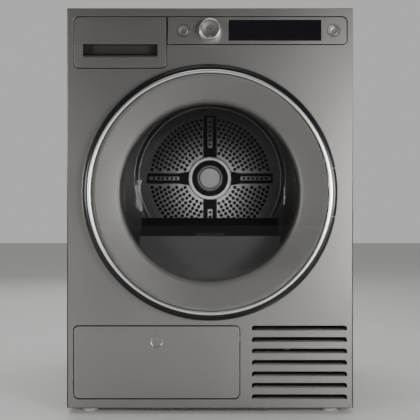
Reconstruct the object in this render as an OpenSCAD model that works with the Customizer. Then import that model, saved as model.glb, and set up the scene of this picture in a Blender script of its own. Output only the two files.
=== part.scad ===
// Free-standing heat-pump tumble dryer with a round glass door.
// The front panel's outer face is the working plane: lengths named "d" run outward from it,
// so a negative d lies inside the cabinet. X is right, Y is to the rear, Z is up.

/* [Cabinet] */
// Width of the cabinet
body_w = 600; // [596:1:604]
// Height from the floor to the worktop
body_h = 850; // [848:1:852]
// Depth from the front panel to the rear panel
body_d = 595; // [585:5:600]
// Thickness of the sheet steel
sheet = 1.5; // [1:0.1:2]
// Height of the worktop's edge
worktop_h = 18; // [16:1:20]
// Height of the front panel's lower edge above the floor
panel_bottom = 11; // [10:1:13]

/* [Door] */
// Height of the door's centre
door_z = 462.8; // [458:0.4:466]
// Outer radius of the black ring
door_r = 266.9; // [264:0.1:268]
// Outer radius of the bright trim ring
trim_r = 253.7; // [252.5:0.1:254]
// Radius of the outer glass
glass_r = 246.4; // [245:0.1:246.5]
// Radius of the window that the frame leaves open
window_r = 185.7; // [180:0.1:186]
// How far the door stands out from the front panel
door_proud = 35; // [34:1:38]
// Half angle of the handle, seen from the door's centre
handle_half = 11; // [9:1:13]

/* [Drum] */
// Outer radius of the drum
drum_r = 283; // [280:1:283]
// Height of the drum's axis
drum_z = 512; // [510:1:514]
// Distance from the front panel to the drum's front edge
drum_front = 100; // [99:1:102]
// Distance from the front panel to the drum's back wall
drum_back_at = 535; // [525:1:536]
// Number of lifters
lifter_count = 3; // [2:1:4]

/* [Drive] */
// Radius of the motor pulley
pulley_r = 15; // [13:1:17]
// Radius of the idler pulley
idler_r = 20; // [18:1:22]
// Radius of the two support rollers
roller_r = 35; // [30:1:36]
// Radial clearance of the running fits
running = 0.05; // [0.02:0.01:0.1]

/* [Controls] */
// Height of the fascia's lower edge
fascia_bottom = 773; // [772:0.5:774]
// Height of the row of controls
control_z = 802; // [800:0.5:804]
// Outer radius of the selector
knob_r = 22.8; // [20:0.2:24]
// Radius of the push buttons
button_r = 10.4; // [9:0.2:10.5]
// Travel of the push buttons
press = 1.5; // [1:0.1:2]

/* [Hidden] */
$fn = 96;

// Main planes
half_w = body_w / 2;
rear_proud = 30;
front_y = -(body_d + door_proud + rear_proud) / 2 + door_proud;
rear_y = front_y + body_d;
inner_x = half_w - sheet;
panel_top = body_h - worktop_h - 0.6;
fold = 18;
round = 4;
seam = 1.2;
over = 1;

// Colours
graphite = "#7b7c7e";
pale_plastic = "#a9a9ab";
black = "#1b1b1d";
dark_grey = "#3c3d40";
bright = "#d5d6d8";
zinc = "#b3b6b9";
rubber = "#26262a";

// Front openings: left, bottom, right, top
drawer_box = [-285.1, 723.4, -90.6, panel_top - 0.4];
fascia_box = [-89, fascia_bottom, 286.8, panel_top - 0.4];
flap_box = [-286, 31.1, 62.4, 183.7];
flap_pivot = [-6, 44.1];
display_box = [38.5, 781, 232.8, 824.3];
louver_x = [87.7, 286.8];
louver_top = 184.1;
louver_pitch = 24;
louver_h = 9.6;
corner_r = 11;

// Drawer grip
grip_x = [-265.9, -109.7];
grip_z = [745.8, 773];
grip_depth = 24;
tank_left = -281;

// Controls
power_x = -55.8;
start_x = 259.1;
control_skin = 2.5;

// Door
mouth_r = 210;
tunnel_r = 200;
hinge_x = -252;
hinge_d = 17;
pin_r = 3.5;
knuckle_r = 6;
hinge_pocket = 42;
strike_x = 228;

// Drum and drive
drum_sheet = 1.5;
shaft_r = 10;
motor_x = 175;
motor_z = 112;
belt_gap = 0.3;
belt_t = 3.5;
belt_at = [-455, -440];
roller_angle = 38;
roller_reach = drum_r + roller_r + 0.3;
axle_r = 6;
spindle_r = 8;

// Filter seat
filter_z = 370;
filter_half = 153;
cassette_half = 126;

// Feet: X and Y of the four sockets
foot_x = 256;
foot_y = [front_y + 42, rear_y - 45];
foot_stem_r = 5;

// Exchanger bay
bay_x = [-236, 44];
bay_z = [20, 178];
lever_x = [-212, 20];
lever_z = 96;

// Places children drawn as [x, z] on the front panel, with local z running outward
module on_front(x = 0, z = 0) translate([x, front_y, z]) rotate([90, 0, 0]) children();

// Extrudes an [x, z] outline between two distances from the front panel
module slab(back, front) on_front() translate([0, 0, back]) linear_extrude(front - back) children();

// Turns an [r, d] outline about an axis normal to the front panel
module turned(x, z) on_front(x, z) rotate_extrude() children();

// A round bar normal to the front panel
module bar(x, z, r, back, front) on_front(x, z) translate([0, 0, back]) cylinder(r = r, h = front - back);

// A box given by its x range, d range and z range
module block(x, d, z)
    translate([x[0], front_y - d[1], z[0]]) cube([x[1] - x[0], d[1] - d[0], z[1] - z[0]]);

// Extrudes a [d, z] outline along X, with d drawn outward
module beam(x0, x1)
    translate([x0, front_y, 0]) rotate([90, 0, 90]) mirror([1, 0, 0]) linear_extrude(x1 - x0) children();

// A quarter of a rounded corner
function quarter(cx, cz, r, start) =
    r <= 0 ? [[cx, cz]] : [for (i = [0:6]) [cx + r * cos(start + i * 15), cz + r * sin(start + i * 15)]];

// A rounded outline: box grown by g, corner radii from the top right and turning left
function outline(b, radii, g = 0) = concat(
    quarter(b[2] + g - max(radii[0] + g, 0), b[3] + g - max(radii[0] + g, 0), radii[0] + g, 0),
    quarter(b[0] - g + max(radii[1] + g, 0), b[3] + g - max(radii[1] + g, 0), radii[1] + g, 90),
    quarter(b[0] - g + max(radii[2] + g, 0), b[1] - g + max(radii[2] + g, 0), radii[2] + g, 180),
    quarter(b[2] + g - max(radii[3] + g, 0), b[1] - g + max(radii[3] + g, 0), radii[3] + g, 270)
);

drawer_radii = [0, corner_r, corner_r, corner_r];
fascia_radii = [corner_r, 0, 0, corner_r];
all_round = [corner_r, corner_r, corner_r, corner_r];

// Casing ---------------------------------------------------------------------------------

module base_tray() color(dark_grey) {
    floor_z = 14;
    wall_h = 46;
    wall = 3;
    x = half_w - 6;
    y0 = front_y + 3;
    y1 = rear_y - 4;
    tooth_pitch = 26;
    difference() {
        union() {
            translate([-x, y0, floor_z]) cube([2 * x, y1 - y0, wall_h]);
            for (i = [-5:5])
                translate([i * tooth_pitch - 9, y0, 8.5]) cube([18, 4, 6]);
        }
        difference() {
            translate([-x + wall, y0 + wall, floor_z + wall])
                cube([2 * (x - wall), y1 - y0 - 2 * wall, wall_h]);
            for (sx = [-1, 1], y = foot_y)
                translate([sx * foot_x, y, floor_z]) cylinder(r = 14, h = 38);
        }
        translate([-x - over, y0 - over, 28]) cube([2 * x + 2 * over, 12, wall_h]);
        for (sx = [-1, 1], y = foot_y)
            translate([sx * foot_x, y, floor_z - over]) cylinder(r = foot_stem_r + running, h = 35);
    }
}

module side_panel(side) {
    y0 = front_y + fold + 1;
    x = side > 0 ? inner_x : -half_w;
    color(graphite) {
        translate([x, y0, panel_bottom]) cube([sheet, rear_y - y0, panel_top - panel_bottom]);
        translate([side > 0 ? half_w - fold : -half_w, rear_y - sheet, panel_bottom])
            cube([fold, sheet, panel_top - panel_bottom]);
        translate([side > 0 ? half_w - fold : -half_w, y0, 236])
            cube([fold, sheet, panel_top - 236]);
    }
}

module side_panel_left() side_panel(-1);
module side_panel_right() side_panel(1);

module top_cover() color(graphite) {
    wall = 4;
    edge = [-half_w, body_h - worktop_h, half_w, body_h];
    difference() {
        slab(-body_d, -fold - 1) polygon(outline(edge, [round, round, 0, 0]));
        block([-half_w + wall, half_w - wall], [-body_d + wall, -fold - 1 - wall],
            [body_h - worktop_h - over, body_h - wall]);
    }
}

module rear_panel() color(zinc) {
    x = half_w - fold - 0.5;
    difference() {
        slab(-body_d, -body_d + sheet)
            polygon(outline([-x, panel_bottom + 5, x, panel_top], [2, 2, 2, 2]));
        bar(0, drum_z, 200, -body_d - over, -body_d + 3);
        bar(250, 110, 12.3, -body_d - over, -body_d + 3);
        for (i = [0:7])
            block([-230, -110], [-body_d - over, -body_d + 3], [60 + i * 20, 66 + i * 20]);
    }
}

module rear_duct_cover() color(zinc) {
    t = 2;
    h = -body_d - rear_proud;
    turned(0, drum_z)
        polygon([
            [0, h], [200, h], [216, h + 8], [226, h + rear_proud - t], [242, h + rear_proud - t],
            [242, h + rear_proud], [224, h + rear_proud], [214.5, h + 9.5], [199.5, h + t], [0, h + t]
        ]);
}

// One louver: the sheet below each slot is pressed inward as a scoop
module scoop(top) {
    low = top - louver_h;
    beam(louver_x[0], louver_x[1])
        polygon([[0, low - 0.5], [-1.5, low - 0.5], [-11, low + 3.4], [-11, low + 4.9], [0, low + 0.8]]);
}

module flap_lug(x0, x1) {
    difference() {
        block([x0, x1], [-13, -sheet], [flap_pivot[1] - 8, flap_pivot[1] + 8]);
        on_pivot(x0 - over, x1 + over, 2.5 + running);
    }
}

module front_panel() color(graphite) {
    difference() {
        slab(-fold, 0) polygon(outline([-half_w, panel_bottom, half_w, body_h], [round, round, 0, 0]));
        slab(-fold - over, -sheet)
            polygon(outline([-inner_x, panel_bottom - over, inner_x, body_h - sheet],
                [round - sheet, round - sheet, 0, 0]));
        bar(0, door_z, mouth_r, -3, over);
        slab(-3, over) polygon(outline(drawer_box, drawer_radii, seam));
        slab(-3, over) polygon(outline(fascia_box, fascia_radii, seam));
        slab(-3, over) polygon(outline(flap_box, all_round, seam));
        for (i = [0:6])
            slab(-3, over)
                polygon(outline([louver_x[0], louver_top - i * louver_pitch - louver_h,
                    louver_x[1], louver_top - i * louver_pitch], [4, 4, 0, 0]));
        block([hinge_x + 13, hinge_x + 26], [-3, over], [door_z - 42, door_z + 42]);
        block([strike_x - 9, strike_x + 9], [-3, over], [door_z - 14, door_z + 14]);
    }
    for (i = [0:6])
        scoop(louver_top - i * louver_pitch);
    flap_lug(-296, -288);
    flap_lug(64, 73);
}

module cabinet_screws() color(zinc) {
    for (sx = [-1, 1], z = [60, 240, 420, 600, 780])
        bar(sx * 272, z, 5, -body_d - 3, -body_d);
    for (a = [15:60:345])
        bar(234 * cos(a), drum_z + 234 * sin(a), 5, -body_d - 5, -body_d - 2);
}

module mains_gland() color(black) {
    difference() {
        union() {
            bar(250, 110, 12, -body_d - 12, -body_d + 8);
            bar(250, 110, 17, -body_d - 4, -body_d);
        }
        bar(250, 110, 5, -body_d - 13, -body_d + 9);
    }
}

// Drum chamber ---------------------------------------------------------------------------

module front_bulkhead() color(zinc) {
    plate = [-92, -88];
    difference() {
        union() {
            block([-292, 292], plate, [232, 815]);
            bar(0, door_z, tunnel_r + 4, -92, -10);
        }
        bar(0, door_z, tunnel_r, -93, -9);
        slab(-93, -87)
            polygon([[-88, 816], [-88, 783.5], [-203, 735.5], [-293, 735.5], [-293, 816]]);
    }
    for (side = [-1, 1])
        bar(side * roller_reach * sin(roller_angle), drum_z - roller_reach * cos(roller_angle),
            axle_r, -128, -90);
}

module rear_bulkhead() color(zinc) {
    back = -560;
    front = -556;
    difference() {
        block([-292, 292], [back, front], [64, 825]);
        bar(0, drum_z, 22, back - over, front + over);
        for (a = [0:60:300])
            on_front(0, drum_z) rotate([0, 0, a + 30]) translate([80, -30, back - over])
                cube([75, 60, 6]);
    }
}

module shaft_bearing() color(black)
    difference() {
        bar(0, drum_z, 22, -570, -548);
        bar(0, drum_z, shaft_r + running, -571, -547);
    }

module door_seal() color(rubber)
    turned(0, door_z)
        polygon([[196, -10], [208, -10], [208, -1], [204, 1.5], [200, 1.5], [196, -3]]);

module drum_felt() color("#d8d5cc")
    difference() {
        bar(0, drum_z, 280, -drum_front + 0.3, -92);
        bar(0, drum_z, 264, -drum_front - over, -91);
    }

// The belt's outline: two arcs joined by their common tangents
function belt_outline(extra) =
    let (
        big = drum_r + belt_gap + extra,
        small = pulley_r + belt_gap + extra,
        dx = motor_x,
        dz = motor_z - drum_z,
        lean = atan2(dz, dx),
        spread = acos((big - small) / norm([dx, dz]))
    )
    concat(
        [for (i = [0:72]) let (a = lean + spread + i * (360 - 2 * spread) / 72)
            [big * cos(a), drum_z + big * sin(a)]],
        [for (i = [0:12]) let (a = lean - spread + i * 2 * spread / 12)
            [motor_x + small * cos(a), motor_z + small * sin(a)]]
    );

module drum_belt() color(rubber)
    difference() {
        slab(belt_at[0], belt_at[1]) polygon(belt_outline(belt_t));
        slab(belt_at[0] - over, belt_at[1] + over) polygon(belt_outline(0.2));
    }

module filter_housing() color(dark_grey) {
    t = 3;
    intersection() {
        union() {
            beam(-filter_half, filter_half)
                polygon([[-66, 240], [-66, filter_z], [-69, filter_z], [-69, 264], [-90, 264],
                    [-90, filter_z - 3], [-131, 409], [-134, 409], [-134, 290], [-131, 290],
                    [-131, 404], [-93, filter_z - 6], [-93, 240]]);
            for (x = [-filter_half, filter_half - t])
                beam(x, x + t)
                    polygon([[-66, 240], [-66, filter_z], [-90, filter_z], [-131, 409], [-134, 409],
                        [-134, 290], [-93, 290], [-93, 240]]);
        }
        union() {
            bar(0, door_z, tunnel_r - 0.5, -93.5, -60);
            bar(0, drum_z, 236, -140, -93.5);
        }
    }
}

module filter_cassette() color(pale_plastic) {
    rim = 6;
    foot_z = 312;
    difference() {
        union() {
            block([-cassette_half, cassette_half], [-86, -73], [foot_z, filter_z - 2]);
            block([-32, 32], [-84, -75], [filter_z - 2, filter_z + 8]);
        }
        block([-cassette_half + rim, cassette_half - rim], [-81, -72], [foot_z + rim, filter_z - 14]);
        block([-24, 24], [-87, -72], [filter_z - 10, filter_z + 2]);
    }
}

// Controls -------------------------------------------------------------------------------

module control_panel() color(graphite) {
    difference() {
        union() {
            slab(-16, 0) polygon(outline(fascia_box, fascia_radii));
            for (x = [power_x, start_x])
                bar(x, control_z, 14, -1, 1);
        }
        slab(-17, -control_skin) polygon(outline(fascia_box, fascia_radii, -control_skin));
        slab(-4, over) polygon(outline(display_box, [1, 1, 1, 1], 0.2));
        for (x = [power_x, start_x])
            bar(x, control_z, button_r + 0.3, -4, 2);
        bar(0, control_z, 8.4, -4, over);
    }
}

module display_window() color(black)
    slab(-3, -0.2) polygon(outline(display_box, [1, 1, 1, 1]));

module control_board() color("#2f5a3c") {
    slab(-24, -22) polygon(outline([-78, 779, 276, 825], [3, 3, 3, 3]));
    bar(0, control_z, 10, -22, -12.2);
    for (x = [power_x, start_x])
        bar(x, control_z, 4, -22, -7.5 - press);
    block([40, 230], [-22, -8], [784, 820]);
}

module knob_ring() color(bright)
    turned(0, control_z)
        polygon([
            [5.6, -11], [8, -11], [8, 1], [knob_r, 1], [knob_r, 15], [knob_r - 2.6, 20],
            [19.5, 20], [19.5, 3.5], [5.6, 3.5]
        ]);

module knob_cap() color(graphite) {
    bar(0, control_z, 19.2, 12, 19);
    bar(0, control_z, 5, -10.5, 12);
}

module push_button(x) color(graphite) {
    bar(x, control_z, button_r, -6, 0.8);
    bar(x, control_z, 12.5, -6, -3);
    bar(x, control_z, 3, -7.2, -6);
}

module power_button() push_button(power_x);
module start_button() push_button(start_x);

// Condensate drawer ----------------------------------------------------------------------

module drawer_front() color(graphite) {
    difference() {
        union() {
            slab(-4, 0) polygon(outline(drawer_box, drawer_radii));
            block([grip_x[0] - 4, grip_x[1] + 4], [-30, -1], [740, 792]);
        }
        beam(grip_x[0], grip_x[1])
            polygon([[over, grip_z[0]], [over, grip_z[1]], [-3, grip_z[1]], [-3, 788],
                [-grip_depth, 788], [-grip_depth, 757], [0, grip_z[0]]]);
    }
}

// Cross-section of the tank, grown by g, with a sloping floor above the drum
function tank_section(g) = [
    [tank_left - g, 745 - g], [-200 + 0.2 * g, 745 - g], [-95 + g, 790 - 0.75 * g], [-95 + g, 826 + g],
    [tank_left - g, 826 + g]
];

module water_tank() color("#c9ccd0") {
    difference() {
        slab(-424, -30) polygon(tank_section(0));
        slab(-421, -33) polygon(tank_section(-3));
        block([-240, -150], [-410, -350], [820, 830]);
    }
}

module tank_cradle() color(dark_grey)
    difference() {
        slab(-430, -94) polygon(tank_section(4));
        slab(-427, -93) polygon(tank_section(1));
        block([-300, -80], [-431, -93], [770 + 36, 840]);
    }

// Heat pump and drive --------------------------------------------------------------------

// A finned block between two end plates
module finned_core(back, front) {
    fins = 24;
    step = (bay_x[1] - bay_x[0] - 12) / fins;
    block([bay_x[0], bay_x[0] + 4], [back, front], bay_z);
    block([bay_x[1] - 4, bay_x[1]], [back, front], bay_z);
    block(bay_x, [back + 8, front - 8], [bay_z[0] + 6, bay_z[1] - 6]);
    for (i = [1:fins])
        translate([bay_x[0] + 5 + i * step, front_y - front + 1, bay_z[0] + 4])
            cube([1.2, front - back - 2, bay_z[1] - bay_z[0] - 8]);
}

module evaporator() color(zinc) finned_core(-150, -48);
module condenser() color(zinc) finned_core(-300, -160);

module compressor() color(black)
    translate([-150, front_y + 432, 0])
        rotate_extrude()
            polygon([[0, 17.2], [70, 17.2], [70, 22], [60, 24], [60, 160], [54, 176], [38, 188], [0, 192]]);

module motor_body() color(zinc)
    difference() {
        union() {
            bar(motor_x, motor_z, 58, -400, -262);
            block([motor_x - 50, motor_x + 50], [-392, -368], [17.2, 80]);
            block([motor_x - 50, motor_x + 50], [-294, -270], [17.2, 80]);
            bar(idler_pivot[0], idler_pivot[1], 5, -470, -399);
        }
        bar(motor_x, motor_z, spindle_r + running, -401, -261);
    }

module motor_shaft() color(zinc) {
    bar(motor_x, motor_z, spindle_r, -462, -168);
    turned(motor_x, motor_z)
        polygon([
            [0, -460], [pulley_r + 5, -460], [pulley_r + 5, -457], [pulley_r, -456], [pulley_r, -439],
            [pulley_r + 5, -438], [pulley_r + 5, -435], [0, -435]
        ]);
}

module fan_housing() color(dark_grey)
    difference() {
        union() {
            bar(motor_x, motor_z, 88, -240, -160);
            block([motor_x - 60, motor_x + 60], [-240, -160], [17.2, 40]);
        }
        bar(motor_x, motor_z, 84, -237, -163);
        bar(motor_x, motor_z, 50, -164, -150);
        bar(motor_x, motor_z, 14, -241, -236);
    }

module fan_impeller() color(black)
    difference() {
        union() {
            bar(motor_x, motor_z, 78, -232, -229);
            bar(motor_x, motor_z, 20, -230, -172);
            for (a = [0:30:330])
                on_front(motor_x, motor_z) rotate([0, 0, a]) translate([40, -1.2, -230])
                    cube([37, 2.4, 58]);
            difference() {
                bar(motor_x, motor_z, 78, -175, -172);
                bar(motor_x, motor_z, 52, -176, -171);
            }
        }
        bar(motor_x, motor_z, spindle_r, -233, -171);
    }

// The idler rests on the belt's slack side, square to the arm
belt_lean = atan2(motor_z - drum_z, motor_x);
belt_spread = acos((drum_r - pulley_r) / norm([motor_x, motor_z - drum_z]));
slack_normal = [cos(belt_lean - belt_spread), sin(belt_lean - belt_spread)];
slack_run = [slack_normal[1], -slack_normal[0]];
idler_offset = pulley_r + belt_gap + belt_t + idler_r + 0.3;
idler_at = [motor_x, motor_z] + idler_offset * slack_normal + 80 * slack_run;
idler_pivot = idler_at - 60 * slack_run;
idler_pin_r = 4;

module idler_arm() color(zinc) {
    difference() {
        union() {
            bar(idler_pivot[0], idler_pivot[1], 11, -466, -460);
            bar(idler_at[0], idler_at[1], 9, -466, -460);
            on_front(idler_pivot[0], idler_pivot[1])
                rotate([0, 0, atan2(slack_run[1], slack_run[0])])
                    translate([0, -7, -466]) cube([60, 14, 6]);
        }
        bar(idler_pivot[0], idler_pivot[1], 5 + running, -467, -459);
    }
    bar(idler_at[0], idler_at[1], idler_pin_r, -461, -436);
}

module idler_pulley() color(dark_grey)
    difference() {
        bar(idler_at[0], idler_at[1], idler_r, -457.5, -437);
        bar(idler_at[0], idler_at[1], idler_pin_r + running, -459, -436);
    }

module support_roller(side) color(rubber)
    difference() {
        bar(side * roller_reach * sin(roller_angle), drum_z - roller_reach * cos(roller_angle),
            roller_r, -124, -102);
        bar(side * roller_reach * sin(roller_angle), drum_z - roller_reach * cos(roller_angle),
            axle_r + running, -125, -101);
    }

module roller_left() support_roller(-1);
module roller_right() support_roller(1);

module exchanger_cover() color(dark_grey)
    difference() {
        slab(-36, -30) polygon(outline([-240, 20, 48, 184], [8, 8, 8, 8]));
        for (x = lever_x)
            bar(x, lever_z, 5 + running, -37, -29);
    }

module cover_lever(x) color("#2e6f9e") {
    bar(x, lever_z, 5, -42, -25);
    bar(x, lever_z, 9, -28, -18);
    block([x - 6, x + 6], [-26, -18], [lever_z, lever_z + 44]);
}

module cover_lever_left() cover_lever(lever_x[0]);
module cover_lever_right() cover_lever(lever_x[1]);

// A round bar along X on the flap's pivot
module on_pivot(x0, x1, r)
    translate([x0, front_y - flap_pivot[0], flap_pivot[1]]) rotate([0, 90, 0]) cylinder(r = r, h = x1 - x0);

module service_flap() color(graphite) {
    barrel_r = 6;
    swing_r = 13.8;
    x0 = flap_box[0];
    x1 = flap_box[2];
    intersection() {
        union() {
            block([x0, x1], [-4, 0], [flap_pivot[1], flap_box[3]]);
            intersection() {
                block([x0, x1], [-4, 0], [flap_box[1], flap_pivot[1] + over]);
                on_pivot(x0, x1, swing_r);
            }
            on_pivot(x0, x1, barrel_r);
        }
        slab(-14, over) polygon(outline(flap_box, all_round));
    }
    on_pivot(x0 - 9, x0 + 4, 2.5);
    on_pivot(x1 - 4, x1 + 9, 2.5);
}

// Door -----------------------------------------------------------------------------------

// Room for the hinge bracket behind the ring
module hinge_room(depth)
    block([-272, -226], [-over, depth], [door_z - hinge_pocket, door_z + hinge_pocket]);

module door_frame() color(pale_plastic) {
    t = 3;
    difference() {
        turned(0, door_z)
            polygon([
                [258, 2], [258, 2 + t], [199, 2 + t], [196, 4], [194, 8], [206, 12], [246, 22],
                [246, 24.6], [206, 15.2], [194, 11.5], [189, 7], [window_r, 0], [window_r, -20],
                [190, -20], [194, 0], [196, 2]
            ]);
        hinge_room(6);
    }
}

// Outline of the black ring; the handle keeps only its front part
ring_outer = [[trim_r + 0.3, 27.6], [260, 25.5], [265, 19]];

module door_bezel() color(black)
    difference() {
        turned(0, door_z)
            polygon(concat(ring_outer, [
                [door_r, 12], [door_r, 10], [262.5, 5], [259.5, 5], [263, 12], [261.5, 17.5],
                [258.5, 22.8], [247, 25.2], [247, 26], [trim_r + 0.3, 26]
            ]));
        hinge_room(12);
        handle_gap(handle_half + 0.25);
    }

// The sector that the handle fills, with its sides through the door's centre
module handle_gap(half) {
    reach = 300;
    slab(-over, 40) polygon([
        [reach * 0.7, door_z - reach * 0.7 * tan(half)], [reach, door_z - reach * tan(half)],
        [reach, door_z + reach * tan(half)], [reach * 0.7, door_z + reach * 0.7 * tan(half)]
    ]);
}

module door_handle() color(dark_grey)
    intersection() {
        turned(0, door_z)
            polygon(concat(ring_outer, [[266, 15.5], [262, 15.5], [258, 20], [247, 24.8],
                [247, 26], [trim_r + 0.3, 26]]));
        handle_gap(handle_half);
    }

module door_trim_ring() color(bright)
    turned(0, door_z)
        polygon([[246.8, 26], [trim_r, 26], [trim_r, 29], [252, 30.8], [249, 31], [246.8, 29.5]]);

// Domed disc: radius at the rim, d at the rim and at the centre
function dome(rim_r, rim_d, crown_d) =
    [for (i = [0:10]) let (r = rim_r * (1 - i / 10)) [r, crown_d - (crown_d - rim_d) * pow(r / rim_r, 2)]];

function reversed(list) = [for (i = [len(list) - 1:-1:0]) list[i]];

module door_glass() color("#30343a")
    turned(0, door_z)
        polygon(concat(dome(glass_r, 29, door_proud), reversed(dome(glass_r, 25.2, door_proud - 4))));

module door_bowl() color("#6a7078")
    turned(0, door_z)
        polygon([
            [window_r - 0.1, -4], [window_r - 0.1, -12], [180, -22], [166, -40], [150, -47], [110, -50],
            [0, -51], [0, -47], [109, -46], [148, -43], [162, -37.5], [175, -20.5], [180, -10], [180, -4]
        ]);

module door_hinge_arm() color(zinc) {
    difference() {
        union() {
            translate([hinge_x, front_y - hinge_d, door_z - 28]) cylinder(r = knuckle_r, h = 56);
            block([hinge_x - 3, hinge_x + 5], [5, hinge_d], [door_z - 28, door_z + 28]);
            block([hinge_x - 3, -206], [5, 8], [door_z - 28, door_z + 28]);
        }
        translate([hinge_x, front_y - hinge_d, door_z - 29]) cylinder(r = pin_r + running, h = 58);
    }
}

// Two swan-necked arms that carry the hinge pin from behind the front panel
module hinge_bracket() color(zinc) {
    neck = [hinge_x + 16, hinge_x + 23];
    arm_r = knuckle_r - 0.8;
    block([-250, -216], [-6, -sheet], [door_z - 50, door_z + 50]);
    for (z = [door_z - 39, door_z + 29]) {
        block(neck, [-sheet - 1, 16.5], [z, z + 10]);
        block([hinge_x, neck[1]], [hinge_d - arm_r, 16.5], [z, z + 10]);
        translate([hinge_x, front_y - hinge_d, z]) cylinder(r = arm_r, h = 10);
    }
    translate([hinge_x, front_y - hinge_d, door_z - 39]) cylinder(r = pin_r, h = 78);
}

module door_strike() color(zinc) {
    block([strike_x - 3, strike_x + 3], [-13, 2], [door_z - 9, door_z + 9]);
    block([strike_x - 3, strike_x + 6], [-13, -10], [door_z - 9, door_z + 9]);
}

module door_lock() color(black)
    difference() {
        block([strike_x - 13, strike_x + 14], [-26, -sheet], [door_z - 22, door_z + 22]);
        block([strike_x - 9, strike_x + 10], [-20, 0], [door_z - 14, door_z + 14]);
    }

// Drum -----------------------------------------------------------------------------------

module drum_shell() color(bright)
    turned(0, drum_z)
        polygon([
            [262, -drum_front], [drum_r, -drum_front], [drum_r, -drum_back_at - 2],
            [drum_r - drum_sheet, -drum_back_at - 2], [drum_r - drum_sheet, -drum_front - 2],
            [262, -drum_front - 2]
        ]);

module drum_back() color(bright) {
    t = drum_sheet;
    b = -drum_back_at;
    edge = drum_r - drum_sheet;
    turned(0, drum_z)
        polygon([
            [25, b], [192, b], [204, b + 11], [edge, b + 11], [edge, b + 11 - t], [204.5, b + 11 - t],
            [193, b - t], [25, b - t]
        ]);
    for (a = [0:90:270])
        on_front(0, drum_z) rotate([0, 0, a]) translate([62, -18, b - t / 2]) cube([124, 36, 6]);
}

module drum_hub() color(zinc) {
    b = -drum_back_at;
    turned(0, drum_z)
        polygon([
            [0, b - 48], [shaft_r, b - 48], [shaft_r, b - 12], [24, b - 8], [24, b], [59, b], [58.8, b + 14],
            [56, b + 18], [50, b + 18], [48, b + 14], [48, b + 6], [32, b + 6], [30.3, b + 20], [27, b + 22],
            [0, b + 23]
        ]);
}

module drum_lifters() color(pale_plastic)
    for (i = [0:lifter_count - 1])
        on_front(0, drum_z) rotate([0, 0, 90 + i * 360 / lifter_count])
            translate([0, 0, -500]) linear_extrude(360)
                polygon([[279, -35], [280.6, -18], [280.6, 18], [279, 35], [252, 12], [243, 8], [243, -8], [252, -12]]);

// Feet -----------------------------------------------------------------------------------

module foot(side, y) color(pale_plastic)
    translate([side * foot_x, y, 0]) {
        cylinder(r = 17, h = 7);
        cylinder(r = 13, h = 10);
        cylinder(r = foot_stem_r, h = 42);
    }

module foot_front_left() foot(-1, foot_y[0]);
module foot_front_right() foot(1, foot_y[0]);
module foot_rear_left() foot(-1, foot_y[1]);
module foot_rear_right() foot(1, foot_y[1]);

base_tray();
side_panel_left();
side_panel_right();
top_cover();
rear_panel();
rear_duct_cover();
front_panel();
front_bulkhead();
rear_bulkhead();
door_seal();
drum_felt();
drum_belt();
shaft_bearing();
control_panel();
display_window();
control_board();
tank_cradle();
evaporator();
condenser();
compressor();
motor_body();
fan_housing();
hinge_bracket();
door_lock();
exchanger_cover();
filter_housing();
cabinet_screws();
mains_gland();
door_frame();
door_bezel();
door_handle();
door_trim_ring();
door_glass();
door_bowl();
door_hinge_arm();
door_strike();
drawer_front();
water_tank();
knob_ring();
knob_cap();
power_button();
start_button();
service_flap();
cover_lever_left();
cover_lever_right();
filter_cassette();
drum_shell();
drum_back();
drum_lifters();
drum_hub();
motor_shaft();
fan_impeller();
idler_arm();
idler_pulley();
roller_left();
roller_right();
foot_front_left();
foot_front_right();
foot_rear_left();
foot_rear_right();
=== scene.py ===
import math

import bmesh
import bpy
from bpy.props import (
    FloatProperty, FloatVectorProperty, IntProperty, PointerProperty,
)
from mathutils import Matrix, Vector


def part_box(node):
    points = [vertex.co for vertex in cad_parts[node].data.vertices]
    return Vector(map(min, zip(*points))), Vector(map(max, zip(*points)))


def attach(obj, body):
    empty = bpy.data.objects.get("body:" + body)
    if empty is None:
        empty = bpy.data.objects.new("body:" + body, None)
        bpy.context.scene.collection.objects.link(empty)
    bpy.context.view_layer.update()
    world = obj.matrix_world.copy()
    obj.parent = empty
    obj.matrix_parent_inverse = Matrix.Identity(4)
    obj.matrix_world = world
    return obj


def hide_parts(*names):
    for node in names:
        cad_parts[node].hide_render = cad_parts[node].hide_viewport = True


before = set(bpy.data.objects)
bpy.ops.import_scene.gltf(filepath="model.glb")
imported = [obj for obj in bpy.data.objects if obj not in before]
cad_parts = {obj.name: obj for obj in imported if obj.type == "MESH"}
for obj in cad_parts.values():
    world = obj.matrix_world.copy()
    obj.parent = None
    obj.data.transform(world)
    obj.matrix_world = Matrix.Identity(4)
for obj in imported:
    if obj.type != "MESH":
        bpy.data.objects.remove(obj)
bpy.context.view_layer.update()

bl_info = {
    "name": "Tumble Dryer",
    "version": (1, 0, 0),
    "blender": (4, 5, 0),
    "location": "3D View > Sidebar > Dryer",
    "description": "Builds a free-standing tumble dryer around its packed frame",
    "category": "Object",
}

# Lengths in this file are millimetres. A point on the front is (x, z), and "d" runs outward
# from the front panel, so a negative d lies inside the cabinet.
MM = 0.001
FRONT_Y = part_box("front_panel")[0][1] / MM
REAR_D = -(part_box("rear_panel")[1][1] / MM - FRONT_Y)


def span(node):
    """A node's box in this file's terms: x range, d range and z range."""
    low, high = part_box(node)
    return (
        (low[0] / MM, high[0] / MM),
        (FRONT_Y - high[1] / MM, FRONT_Y - low[1] / MM),
        (low[2] / MM, high[2] / MM),
    )


def middle(pair):
    return (pair[0] + pair[1]) / 2


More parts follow.
